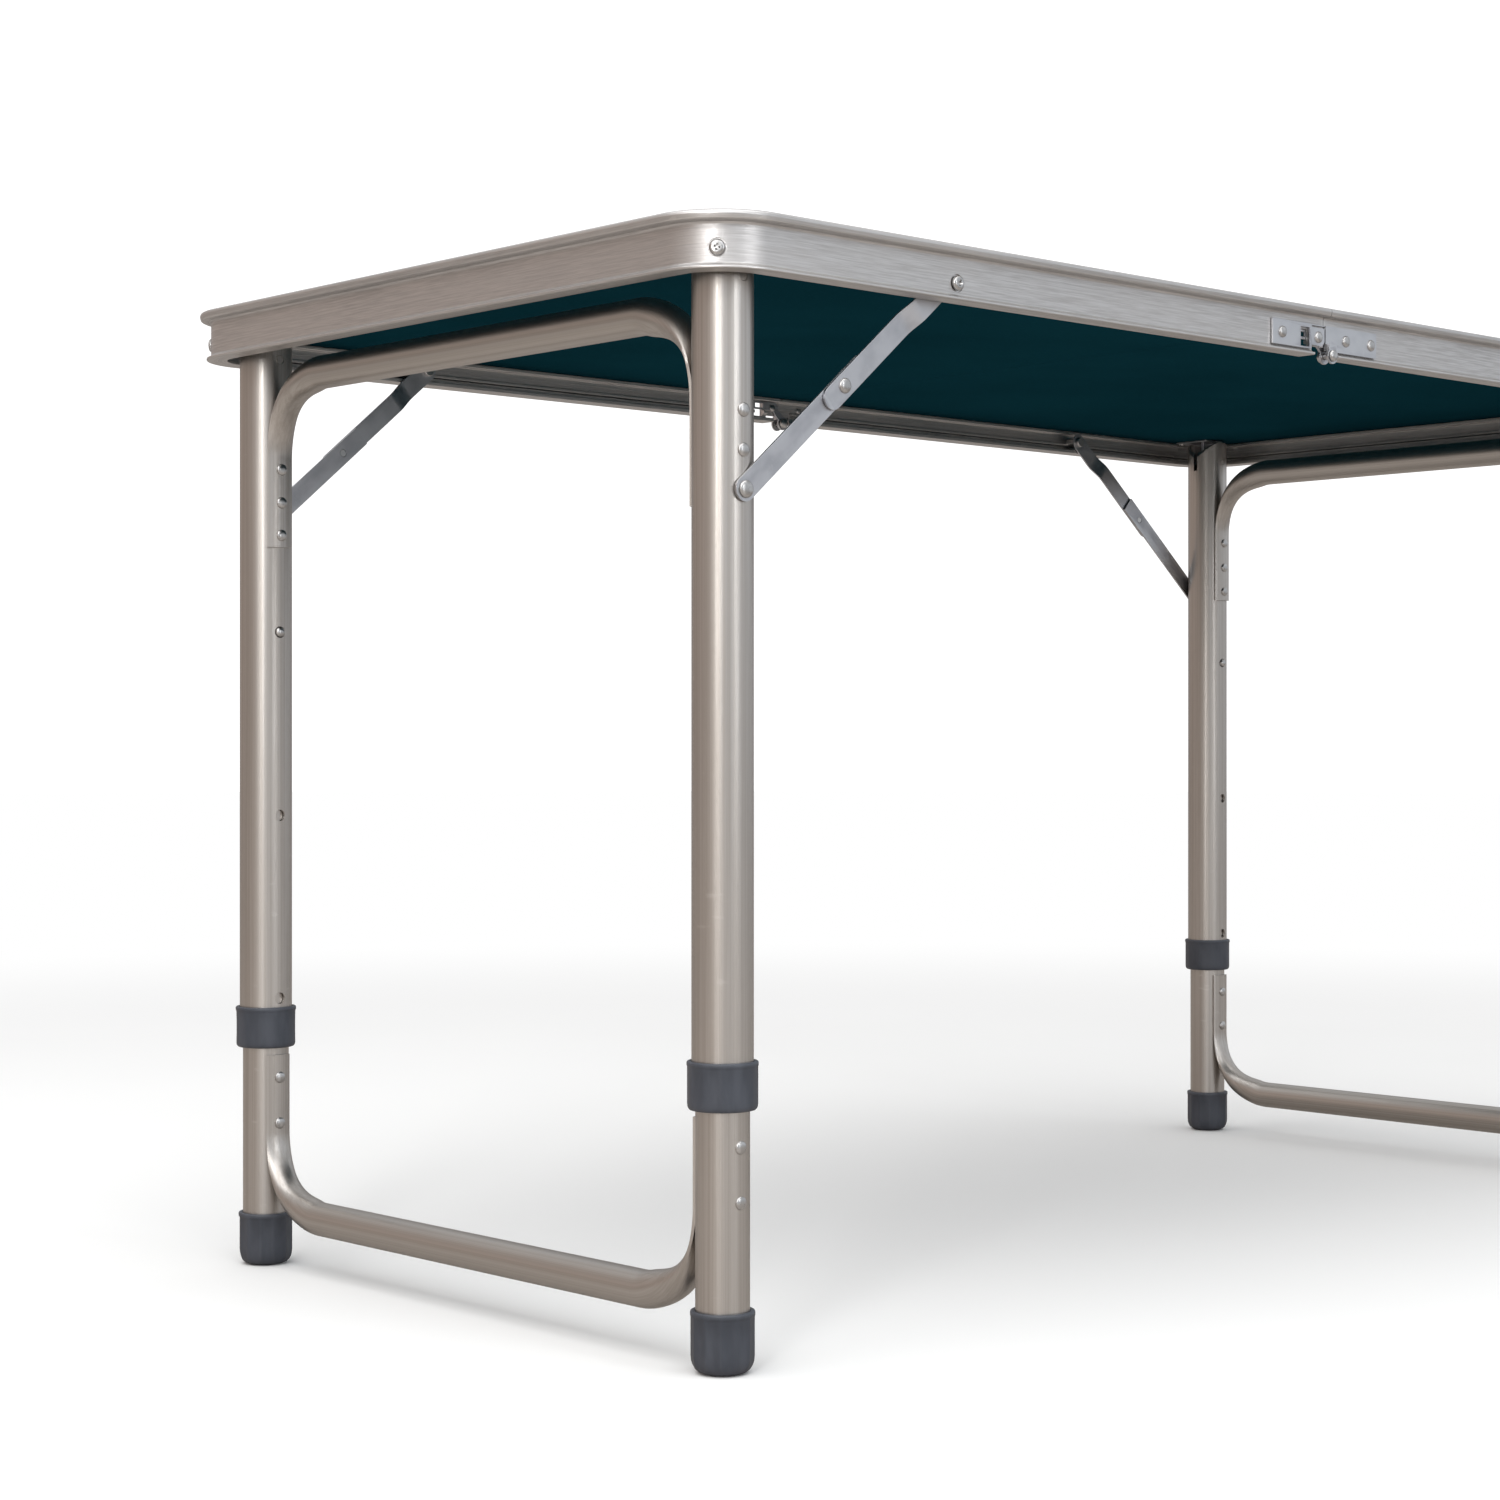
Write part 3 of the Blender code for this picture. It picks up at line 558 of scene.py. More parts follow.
def rim_grain(p):
    """Run round the rim, then the place in its section."""
    dx, dy = abs(p.x) - (FACE_X - CORNER_R), abs(p.y) - (FACE_Y - CORNER_R)
    if dx <= 0:
        run, out = abs(p.x), abs(p.y) - FACE_Y
    elif dy <= 0:
        run, out = RIM_HALF_RUN - abs(p.y), abs(p.x) - FACE_X
    else:
        run = (FACE_X - CORNER_R) + CORNER_R * math.atan2(dx, dy)
        out = math.hypot(dx, dy) - CORNER_R
    if p.y > 0:
        run = 2 * RIM_HALF_RUN - run
    return run, out, p.z


def rim(side):
    outline = rounded(RIM_OUTLINE, 0.5, 3)
    stations = (2.0, NOTCH_X, 16.0, *WINDOW_X, 31.0, 66.0, 150.0, 250.0, 340.0, 430.0, 500.0)
    rings = []
    for (px, py), (nx, ny) in rim_path(0.0, 22, stations):
        rings.append([(px + u * nx, py + u * ny, z) for u, z in outline])
    tools = []
    for row in (FRONT, BACK):
        low, high = sorted((row * (FACE_Y - SEAT_DEPTH), row * (FACE_Y + 2.0)))
        tools.append(rod(STAY_X, STAY_Z, low, high, SEAT_R, ROUND))
        tools.append(to_corner(rod(0.0, 0.0, -SEAT_DEPTH, 2.0, SEAT_R, ROUND), row))
        low, high = sorted((row * 279.0, row * 296.5))
        tools.append(box(-2.0, NOTCH_X, low, high, 660.0, 670.6))
        low, high = sorted((row * 286.5, row * (FACE_Y - WALL)))
        tools.append(box(-2.0, NOTCH_X, low, high, 669.0, 675.0))
        if side == LEFT:
            low, high = sorted((row * 285.0, row * 296.0))
            tools.append(box(*WINDOW_X, low, high, WINDOW_Z[0] + 0.2, ARM_Z[1]))
    return cut(skin(rings), *tools)


def panel():
    rings = []
    for inset, seam, z in (
        (PANEL_INSET + 0.4, 0.8, PANEL_Z0), (PANEL_INSET, 0.5, PANEL_Z0 + 0.4),
        (PANEL_INSET, 0.5, PANEL_Z1 - FIELD_STEP), (FIELD_INSET, 0.8, PANEL_Z1 - FIELD_STEP),
        (FIELD_INSET, 0.8, PANEL_Z1),
    ):
        points = [p for p, _ in rim_path(inset, 22)]
        points[0] = (seam, points[0][1])
        points[-1] = (seam, points[-1][1])
        rings.append([(x, y, z) for x, y in points])
    return skin(rings)


def cross_slot(centre, reach, depth, width=1.35):
    """The cutter for a cross recess in a head that faces along +Y."""
    x, y, z = centre
    bars = []
    for turn in (0.25, 0.25 + math.pi / 2):
        c, s = math.cos(turn), math.sin(turn)
        rings = []
        for level, grow in ((y - depth, 0.35), (y + 1.2, 1.15)):
            cross = [(reach * grow, width / 2), (-reach * grow, width / 2),
                     (-reach * grow, -width / 2), (reach * grow, -width / 2)]
            rings.append([(x + u * c - w * s, level, z + u * s + w * c) for u, w in cross])
        bars.append(skin(rings))
    return bars


def pan_head(centre, radius, height):
    """A cross-recessed pan head standing out along +Y, its seat at centre."""
    x, y, z = centre
    profile = [(0.0, -0.2), (radius - 0.2, -0.2), (radius, 0.1)]
    for i in range(7):
        a = math.radians(15.0 * i)
        out, up = 0.55 + 0.45 * math.cos(a), 0.25 + 0.75 * math.sin(a)
        profile.append((radius * out, 0.1 + (height - 0.1) * up))
    profile.append((0.0, height))
    head = turned(profile, (x, y, z), "Y", ROUND)
    return cut(head, *cross_slot((x, y + height, z), radius * 0.56, height * 0.55))


def to_corner(bm, row=BACK):
    """Swings a piece drawn facing +Y at the origin to the middle of a corner of the rim."""
    turn = math.radians(-45.0 if row == BACK else -135.0)
    reach = CORNER_R + 0.15
    for v in bm.verts:
        x, y, z = v.co
        y += reach
        v.co = (FACE_X - CORNER_R + x * math.cos(turn) - y * math.sin(turn),
                row * (FACE_Y - CORNER_R) + x * math.sin(turn) + y * math.cos(turn),
                CORNER_SCREW_Z + z)
    return bm


def corner_screw():
    bm = pan_head((0.0, 0.0, 0.0), SCREW_HEAD_R, 2.3)
    shank = turned([(0.0, -4.6), (1.2, -4.6), (2.0, -3.2), (2.0, 0.0), (0.0, 0.0)], (0, 0, 0), "Y", 24)
    return to_corner(together(bm, shank))


def bracket():
    """A plate screwed up under the panel, with a tongue that hangs inside the leg's open
    top and carries its pivot pin."""
    plate = [(LEG_X - 14.0, 243.0), (LEG_X + 14.0, 243.0), (LEG_X + 14.0, 282.0), (LEG_X - 14.0, 282.0)]
    outline = [(LEG_X + TONGUE_R, 685.0), (LEG_X - TONGUE_R, 685.0)]
    for i in range(19):
        a = math.radians(180.0 + 10.0 * i)
        outline.append((LEG_X + TONGUE_R * math.cos(a), LEG_PIVOT_Z + TONGUE_R * math.sin(a)))
    tongue = prism(outline, LEG_Y - TONGUE_HALF, LEG_Y + TONGUE_HALF)
    bm = add(prism(rounded(plate, 3.0, 5), 684.3, 686.0, "Z"), tongue)
    return cut(bm, rod(LEG_X, LEG_PIVOT_Z, LEG_Y - 5.0, LEG_Y + 5.0, PIN_R + 0.4, 28))


def bracket_screws():
    heads = []
    for dx in (-8.5, 8.5):
        profile = [(0.0, 0.2), (2.8, 0.2), (2.8, -0.6), (2.5, -1.1), (1.6, -1.6), (0.0, -1.7)]
        heads.append(turned(profile, (LEG_X + dx, 278.0, 684.4), "Z", 28))
    return together(*heads)


def pivot_pin():
    """Pressed through the leg and dressed flush with its wall."""
    half = LEG_R - 0.22
    radius = PIN_R + 0.22
    profile = [(0.0, -half), (radius - 0.3, -half), (radius, 0.3 - half), (radius, -15.0), (PIN_R, -14.0),
               (PIN_R, 14.0), (radius, 15.0), (radius, half - 0.3), (radius - 0.3, half), (0.0, half)]
    return turned(profile, (LEG_X, LEG_Y, LEG_PIVOT_Z))


# ---------------------------------------------------------------- legs

def leg_grain(p):
    """Run up the leg, then the place across it."""
    return p.z, p.x - LEG_X, p.y - LEG_Y


def tube(outer, inner, levels, centre, top=None):
    """A tube along Z with rings at the given levels. top gives the rim height at a point."""
    def ring(radius, level, last):
        out = []
        for i in range(SEGMENTS):
            a = 2.0 * math.pi * i / SEGMENTS
            x, y = radius * math.cos(a), radius * math.sin(a)
            z = top(x) if (last and top) else level
            out.append((centre[0] + x, centre[1] + y, z))
        return out
    rings = [ring(outer, z, z == levels[-1]) for z in levels]
    rings += [ring(inner, z, z == levels[-1]) for z in reversed(levels)]
    return skin(rings, closed_path=True)


def upper_leg():
    levels = [LEG_BOTTOM_Z]
    for z in HOLE_Z:
        levels += [z - 6.0, z + 6.0]
    levels += [600.0, LEG_PIVOT_Z]

    def crown(x):
        return LEG_PIVOT_Z + math.sqrt(max(0.0, LEG_TOP_R ** 2 - x ** 2))

    bm = tube(LEG_R, LEG_BORE_R, levels, (LEG_X, LEG_Y), crown)
    tools = [rod(LEG_X, z, LEG_Y - 25.0, LEG_Y, HOLE_R, 32) for z in HOLE_Z]
    tools.append(rod(LEG_X, LEG_PIVOT_Z, LEG_Y - 25.0, LEG_Y + 25.0, PIN_R + 0.3, ROUND))
    slot = TONGUE_HALF + 0.6
    floor_z = LEG_PIVOT_Z - TONGUE_R - 0.6
    tools.append(box(LEG_X - 25.0, LEG_X - 5.0, LEG_Y - slot, LEG_Y + slot, floor_z, 690.0))
    return cut(bm, *tools)


def lower_leg():
    levels = [4.3, 60.0, 120.0, 158.0, HOLE_Z[2] - 6.0, HOLE_Z[2] + 6.0, 492.0]
    bm = tube(LOWER_R, LOWER_BORE_R, levels, (LEG_X, LEG_Y))
    return cut(bm, rod(LEG_X, HOLE_Z[2], LEG_Y - 25.0, LEG_Y, HOLE_R, 32))


def rivet(x, z, y0, radius, height, sign=1):
    """A domed rivet head on the plane Y = y0, standing out along sign."""
    profile = [(0.0, y0 - sign * 0.8), (radius - 0.1, y0 - sign * 0.8), (radius, y0 - sign * 0.1),
               (radius, y0 + sign * 0.18 * height)]
    for i in range(1, 7):
        a = math.radians(15.0 * i)
        profile.append((radius * math.cos(a) ** 0.8 if i < 6 else 0.0,
                        y0 + sign * height * (0.18 + 0.82 * math.sin(a))))
    return turned(profile, (x, 0.0, z), "Y", 32)


def upper_leg_rivets():
    face = LEG_Y + LEG_R
    heads = [rivet(LEG_X, z, face - 0.3, 4.4, 2.2) for z in RIVET_Z]
    seat = LOWER_LINK_Y + LINK_T + 0.3
    profile = [(0.0, face - 1.0), (2.6, face - 1.0), (2.6, seat), (5.2, seat), (5.4, seat + 0.2),
               (5.4, seat + 0.6), (5.1, seat + 1.1), (4.5, seat + 1.5), (3.4, seat + 1.85),
               (2.0, seat + 2.1), (0.0, seat + 2.2)]
    heads.append(turned(profile, (LEG_X, 0.0, LINK_PIVOT_Z)))
    return together(*heads)


def inner_rivets(levels, leg_r):
    """Heads on the inner side of the two crescents of a brace."""
    seat = LEG_Y - leg_r - BRACE_GAP - BRACE_WALL + 0.15
    return together(*[rivet(LEG_X, z, row * seat, 4.2, 1.9, -row)
                      for row in (FRONT, BACK) for z in levels])


def lower_leg_rivets():
    return together(*[rivet(LEG_X, z, LEG_Y + LOWER_R - 0.3, 4.2, 1.9) for z in LOWER_RIVET_Z])


def facets(strength, low, high):
    """Twelve soft flats round a moulding, fading out towards its ends."""
    def swell(r, h, a):
        near = (a + math.pi / 12) % (math.pi / 6) - math.pi / 12
        flat = math.cos(math.pi / 12) / math.cos(near)
        fade = max(0.0, min(1.0, (h - low) / 4.0, (high - h) / 2.5))
        return r * (1.0 - strength * fade * (1.0 - flat))
    return swell


def sleeve():
    profile = [
        (17.0, 159.6), (19.4, 159.6), (20.3, 159.9), (21.0, 160.7), (21.5, 161.9), (21.7, 163.6),
        (21.7, 170.0), (21.7, 178.0), (21.7, 185.6), (21.8, 186.4), (22.0, 187.0), (22.0, 188.4),
        (21.7, 189.1), (21.2, 189.4), (19.9, 189.4), (19.3, 188.9),
        (19.3, LEG_BOTTOM_Z - 0.3), (17.0, LEG_BOTTOM_Z - 0.3),
    ]
    return turned(profile, (LEG_X, LEG_Y, 0.0), "Z", SEGMENTS, True, facets(0.55, 161.0, 187.0))


def foot():
    profile = [
        (0.0, 0.0), (11.4, 0.0), (13.4, 0.3), (15.4, 1.2), (17.2, 2.7), (18.5, 4.8), (19.3, 7.4),
        (19.6, 10.5), (19.6, 14.0), (19.6, 22.0), (19.6, 33.8), (19.75, 34.6), (19.9, 35.2), (19.9, 36.9),
        (19.6, 37.7), (19.0, 38.0), (17.4, 38.0), (16.9, 37.6), (16.9, 4.0), (0.0, 4.0),
    ]
    return turned(profile, (LEG_X, LEG_Y, 0.0), "Z", SEGMENTS, False, facets(1.25, 2.0, 35.6))


def brace(sign, arm_z, bar_z, leg_r, span, flat_end):
    """A U-shaped brace: a crescent pressed round the leg at each end, a round tube across.
    sign is +1 when the arms hang below the bar. Grain runs along the tube."""
    half = 24
    near_r = leg_r + BRACE_GAP
    far_r = near_r + BRACE_WALL
    centre_y = LEG_Y - near_r - BRACE_R
    bend_y, bend_z = centre_y - BRACE_BEND_R, bar_z - sign * BRACE_BEND_R
    blend = abs(bend_z - flat_end) + BRACE_BEND_R * math.radians(BRACE_BLEND)
    stations = [(arm_z + (flat_end - arm_z) * i / 3.0, None, 0.0) for i in range(4)]
    stations += [(flat_end + (bend_z - flat_end) * i / 8.0, None, 0.0) for i in range(1, 9)]
    for i in range(1, 25):
        beta = math.radians(3.75 * i)
        stations.append((bend_z, beta, abs(bend_z - flat_end) + BRACE_BEND_R * beta))
    rings = []
    for z, beta, run in stations:
        if beta is None:
            beta, middle, level = 0.0, (centre_y, z), z
            share = max(0.0, sign * (z - flat_end)) / blend
        else:
            middle = (bend_y + BRACE_BEND_R * math.cos(beta),
                      bend_z + sign * BRACE_BEND_R * math.sin(beta))
            level = flat_end + sign * run
            share = min(1.0, run / blend)
        share = share * share * (3.0 - 2.0 * share)
        inward = (-math.cos(beta), -sign * math.sin(beta))
        ring = []
        for k in range(2 * half):
            phi = math.pi * (k + 0.5) / half
            x, n = BRACE_R * math.cos(phi), BRACE_R * math.sin(phi)
            circle = (x, middle[0] + n * inward[0], middle[1] + n * inward[1])
            turn = (k if k < half else k - half) / (half - 1)
            a = span - 2.0 * span * turn if k < half else -span + 2.0 * span * turn
            r = far_r if k < half else near_r
            moon = (r * math.sin(a), LEG_Y - r * math.cos(a), level)
            ring.append(tuple(m + (c - m) * share for m, c in zip(moon, circle)))
        rings.append(ring)
    mirrored = [[(x, -y, z) for x, y, z in ring] for ring in reversed(rings)]
    return skin([[(LEG_X + x, y, z) for x, y, z in ring] for ring in rings + mirrored])


def brace_grain(sign, bar_z):
    """Run along the U, then the place round it."""
    bend_y = LEG_Y - LEG_R - BRACE_R - BRACE_BEND_R
    bend_z = bar_z - sign * BRACE_BEND_R

    def grain(p):
        y = abs(p.y)
        if y < bend_y:
            run, out = bend_y - y, sign * (p.z - bend_z) - BRACE_BEND_R
        elif sign * (p.z - bend_z) < 0:
            run = -BRACE_BEND_R * math.pi / 2 + sign * (p.z - bend_z)
            out = y - bend_y - BRACE_BEND_R
        else:
            a = math.atan2(sign * (p.z - bend_z), y - bend_y)
            run = -BRACE_BEND_R * (math.pi / 2 - a)
            out = math.hypot(p.z - bend_z, y - bend_y) - BRACE_BEND_R
        return math.copysign(run, p.y) if y < bend_y else run + (0.0 if p.y > 0 else 5.0), p.x, out
    return grain


def snap_button():
    z, tip, root = HOLE_Z[2], LEG_Y - LEG_R - 2.2, LEG_Y - 13.2
    profile = [(0.0, tip), (1.4, tip + 0.08), (2.4, tip + 0.4), (3.2, tip + 1.0), (3.6, tip + 1.8),
               (3.7, tip + 2.6), (3.7, root), (0.0, root)]
    head = turned(profile, (LEG_X, 0.0, z))
    line = [(LEG_Y - 13.8, z + 16.0), (LEG_Y - 13.8, z - 30.0), (LEG_Y - 11.2, z - 39.0),
            (LEG_Y - 7.6, z - 42.0), (LEG_Y - 4.2, z - 39.0)]
    line = rounded(line, 4.0, 4, closed=False)
    inner = [(y + 0.9, h + (0.0 if n < 2 else 1.1)) for n, (y, h) in enumerate(line)]
    return together(head, prism(line + list(reversed(inner)), LEG_X - 4.5, LEG_X + 4.5, "X"))


# ---------------------------------------------------------------- stays

def stay_points():
    a, t = (LEG_X, LINK_PIVOT_Z), (STAY_X, STAY_Z)
    m = (a[0] + (t[0] - a[0]) * MID_SHARE, a[1] + (t[1] - a[1]) * MID_SHARE)
    return a, m, t


def strip(start, end, before, after, y0, round_start, round_end, step=None):
    """A flat bar between two pivots, its plane stepped out between the two runs of step."""
    length = math.hypot(end[0] - start[0], end[1] - start[1])
    along = ((end[0] - start[0]) / length, (end[1] - start[1]) / length)
    half = LINK_W / 2.0
    turns = [math.radians(4.0 + 86.0 * i / 14.0) for i in range(15)]
    arc = [(half * (1.0 - math.cos(q)), half * math.sin(q)) for q in turns]
    far = length + after
    marks = []
    if round_start:
        marks += [(-before + s, w) for s, w in arc]
    else:
        marks += [(-before, half - 1.2), (-before + 0.35, half - 0.35), (-before + 1.2, half)]
    if step:
        marks += [(step[0] + (step[1] - step[0]) * i / 8.0, half) for i in range(9)]
    if round_end:
        marks += [(far - s, w) for s, w in reversed(arc)]
    else:
        marks += [(far - 1.2, half), (far - 0.35, half - 0.35), (far, half - 1.2)]
    rings = []
    for s, w in marks:
        shift = 0.0
        if step:
            share = max(0.0, min(1.0, (s - step[0]) / (step[1] - step[0])))
            shift = JOGGLE * share * share * (3.0 - 2.0 * share)
        ring = []
        for side, level in ((-1, 0), (1, 0), (1, 1), (-1, 1)):
            ring.append((start[0] + along[0] * s - along[1] * w * side, y0 + shift + level * LINK_T,
                         start[1] + along[1] * s + along[0] * w * side))
        rings.append(ring)
    return skin(rings)


def stay_grain(p):
    a, _, t = stay_points()
    length = math.hypot(t[0] - a[0], t[1] - a[1])
    ux, uz = (t[0] - a[0]) / length, (t[1] - a[1]) / length
    dx, dz = p.x - a[0], p.z - a[1]
    return dx * ux + dz * uz, p.y, -dx * uz + dz * ux


def lower_link():
    a, m, _ = stay_points()
    bm = strip(a, m, LINK_W / 2.0, LOWER_TAIL, LOWER_LINK_Y, True, False)
    y0, y1 = LOWER_LINK_Y - 1.0, LOWER_LINK_Y + LINK_T + 1.0
    return cut(bm, rod(a[0], a[1], y0, y1, 2.9, 28), rod(m[0], m[1], y0, y1, 2.9, 28))


def upper_link():
    _, m, t = stay_points()
    bm = strip(m, t, UPPER_TAIL, LINK_W / 2.0, UPPER_LINK_Y, True, True, JOGGLE_RUN)
    high = UPPER_LINK_Y + LINK_T
    return cut(bm, rod(t[0], t[1], high - 1.0, high + JOGGLE + 1.0, 2.8, 28))


def middle_rivet():
    _, m, _ = stay_points()
    high = UPPER_LINK_Y + LINK_T
    shank = rod(m[0], m[1], LOWER_LINK_Y + 0.2, high - 0.4, 2.6, 28)
    return together(rivet(m[0], m[1], high - 0.1, 4.9, 2.3), shank)


def stay_screw():
    profile = [
        (0.0, 274.8), (3.9, 274.8), (4.4, 275.3), (4.4, 277.5), (2.4, 277.5), (2.4, 279.8),
        (4.5, 279.8), (4.5, 290.0), (2.4, 290.0), (2.4, 292.4), (0.0, 292.4),
    ]
    body = turned(profile, (STAY_X, 0.0, STAY_Z))
    return together(body, pan_head((STAY_X, FACE_Y + 0.3, STAY_Z), SCREW_HEAD_R, 2.6))


# ---------------------------------------------------------------- middle hinge

def disc(x, z, radius, count=40):
    return [(x + radius * math.cos(2.0 * math.pi * i / count),
             z + radius * math.sin(2.0 * math.pi * i / count)) for i in range(count)]


def left_hinge():
    """Outer leaf, and the inner arm that reaches the pin below the rim."""
    leaf = [(-61.8, LEAF_Z0), (-16.0, LEAF_Z0), (-16.0, 671.0), (-3.4, 671.0), (-0.5, 674.0)]
    leaf += [(-0.5, LEAF_TOP), (-61.8, LEAF_TOP)]
    bm = prism(rounded(leaf, 0.7, 3), LEAF_Y, LEAF_Y + LEAF_T)
    window = box(-WINDOW_X[1], -WINDOW_X[0], LEAF_Y - 1.0, LEAF_Y + 3.0, *WINDOW_Z)
    slit = box(-15.8, 1.0, LEAF_Y - 1.0, LEAF_Y + 3.0, 684.2, 685.3)
    bm = cut(bm, window, slit)
    arm = [(-55.5, ARM_Z[0]), (-9.0, ARM_Z[0]), (-6.0, 673.6), (-4.2, 671.0)]
    for i in range(28):
        a = math.radians(150.0 + 10.0 * i)
        arm.append((HINGE_X + 5.6 * math.cos(a), HINGE_Z + 5.6 * math.sin(a)))
    arm += [(-0.8, 675.5), (-0.8, 679.0), (-4.0, ARM_Z[1]), (-55.5, ARM_Z[1])]
    slot = box(-28.4, -19.0, ARM_Y - 1.0, ARM_Y + 3.0, ARM_Z[0] + 1.6, ARM_Z[1] - 1.6)
    eye = rod(HINGE_X, HINGE_Z, ARM_Y - 1.0, ARM_Y + 3.0, EYE_R, 28)
    inner = cut(prism(arm, ARM_Y, ARM_Y + ARM_T), slot, eye)
    return together(bm, inner)


def hinge_rivets(places, shank_y, tail_y):
    """Rivets through a leaf and the rim wall, each a shank, a head outside and a tail inside."""
    parts = []
    for x in places:
        parts.append(rod(x, RIVET_LINE_Z, shank_y, LEAF_Y + 1.0, 2.2, 28))
        parts.append(rivet(x, RIVET_LINE_Z, LEAF_Y + LEAF_T - 0.1, 4.2, 2.0))
        parts.append(rivet(x, RIVET_LINE_Z, tail_y, 3.1, 1.1, -1))
    return together(*parts)


def right_hinge():
    """Outer leaf with the lug that turns on the pin below the rim."""
    leaf = [(0.5, LEAF_Z0), (63.0, LEAF_Z0), (63.0, LEAF_TOP), (0.5, LEAF_TOP)]
    bm = prism(rounded(leaf, 0.7, 3), LEAF_Y, LEAF_Y + LEAF_T)
    pad = box(0.5, 9.6, LEAF_Y + 0.3, LUG_Y + LUG_T, LEAF_Z0, 673.0)
    lug = prism(disc(HINGE_X, HINGE_Z, LUG_R), LUG_Y, LUG_Y + LUG_T)
    neck = box(0.5, 9.2, LUG_Y + 0.01, LUG_Y + LUG_T - 0.01, HINGE_Z, 670.0)
    bm = add(bm, pad, add(lug, neck))
    return cut(bm, rod(HINGE_X, HINGE_Z, LUG_Y - 1.0, LUG_Y + 3.0, EYE_R, 28))


def hinge_pin():
    profile = [
        (0.0, 285.4), (3.2, 285.4), (4.0, 285.9), (4.2, 286.4), (4.2, 287.9), (2.2, 287.9),
        (2.2, 297.5), (4.2, 297.5), (4.3, 297.7), (4.2, 298.4), (3.7, 299.0), (2.8, 299.5),
        (1.4, 299.75), (0.0, 299.8),
    ]
    return turned(profile, (HINGE_X, 0.0, HINGE_Z))


def build_table(maker):
    piece = maker.piece
    for side, s in SIDES:
        half, legs, low = s + "_half", s + "_leg_frame", s + "_lower_frame"
        across = (side, 1)
        piece(panel(), s + "_board", "board_laminate", half, s + "_panel", across, eased=0.4)
        piece(rim(side), s + "_rim", "brushed_rim", half, s + "_edge_frame", across, rim_grain,
              crease=38.0).modifiers.new("even", "WEIGHTED_NORMAL").keep_sharp = True
        upper = brace(1, UPPER_ARM_Z, UPPER_BAR_Z, LEG_R, math.radians(UPPER_SPAN), UPPER_FLAT_Z)
        piece(upper, s + "_upper_bar", "drawn_tube", legs, s + "_upper_brace", across,
              brace_grain(1, UPPER_BAR_Z), crease=50.0)
        piece(inner_rivets(RIVET_Z + (LINK_PIVOT_Z,), LEG_R), s + "_upper_bar_rivets",
              "bright_plate", legs, flip=across, crease=45.0)
        lower = brace(-1, LOWER_ARM_Z, LOWER_BAR_Z, LOWER_R, math.radians(LOWER_SPAN), LOWER_FLAT_Z)
        piece(lower, s + "_lower_bar", "drawn_tube", low, s + "_lower_brace", across,
              brace_grain(-1, LOWER_BAR_Z), crease=50.0)
        piece(inner_rivets(LOWER_RIVET_Z, LOWER_R), s + "_lower_bar_rivets",
              "bright_plate", low, flip=across, crease=45.0)
        for row, r in ROWS:
            tag = s + "_" + r + "_"
            flip = (side, row)
            piece(corner_screw(), tag + "corner_screw", "bright_plate", half, flip=flip, crease=40.0)
            piece(bracket(), tag + "bracket", "pressed_zinc", half, tag + "leg_bracket", flip, eased=0.3)
            piece(bracket_screws(), tag + "bracket_screws", "bright_plate", half, flip=flip, crease=45.0)
            piece(pivot_pin(), tag + "leg_pin", "drawn_tube", legs, tag + "pivot_pin", flip,
                  leg_grain, crease=40.0)
            piece(upper_leg(), tag + "leg_tube", "drawn_tube", legs, tag + "upper_leg", flip, leg_grain,
                  normals=tube_normals(LEG_X, LEG_Y, (LEG_R, LEG_BORE_R)))
            piece(upper_leg_rivets(), tag + "leg_rivets", "bright_plate", legs, flip=flip, crease=45.0)
            piece(sleeve(), tag + "leg_sleeve", "moulded_plastic", legs, tag + "sleeve", flip,
                  leg_grain, crease=45.0)
            piece(lower_leg(), tag + "inner_tube", "drawn_tube", low, tag + "lower_leg", flip, leg_grain,
                  normals=tube_normals(LEG_X, LEG_Y, (LOWER_R, LOWER_BORE_R)))
            piece(lower_leg_rivets(), tag + "inner_tube_rivets", "bright_plate", low, flip=flip, crease=45.0)
            piece(foot(), tag + "foot_cap", "moulded_plastic", low, tag + "foot", flip,
                  leg_grain, crease=45.0)
            piece(snap_button(), tag + "button", "bright_plate", tag + "snap_button", tag + "snap_button",
                  flip, crease=40.0)
            piece(lower_link(), tag + "lower_stay", "pressed_zinc", tag + "lower_link", tag + "lower_link",
                  flip, stay_grain, eased=0.35)
            piece(upper_link(), tag + "upper_stay", "pressed_zinc", tag + "upper_link", tag + "upper_link",
                  flip, stay_grain, eased=0.35, crease=40.0)
            piece(middle_rivet(), tag + "stay_rivet", "bright_plate", tag + "upper_link", flip=flip,
                  crease=45.0)
            piece(stay_screw(), tag + "stay_bolt", "bright_plate", half, tag + "stay_screw", flip,
                  crease=40.0)
    for row, r in ROWS:
        flip = (1, row)
        piece(left_hinge(), "left_" + r + "_leaf", "pressed_zinc", "left_half", "left_" + r + "_hinge",
              flip, eased=0.2)
        piece(hinge_rivets(LEFT_RIVETS_X, ARM_Y + 0.5, ARM_Y + 0.1), "left_" + r + "_leaf_rivets",
              "bright_plate", "left_half", flip=flip, crease=45.0)
        piece(right_hinge(), "right_" + r + "_leaf", "pressed_zinc", "right_half", "right_" + r + "_hinge",
              flip, eased=0.2)
        piece(hinge_rivets(RIGHT_RIVETS_X, 289.4, 290.3), "right_" + r + "_leaf_rivets",
              "bright_plate", "right_half", flip=flip, crease=45.0)
        piece(hinge_pin(), r + "_pin", "bright_plate", "left_half", r + "_hinge_pin", flip, crease=40.0)


# ---------------------------------------------------------------- studio

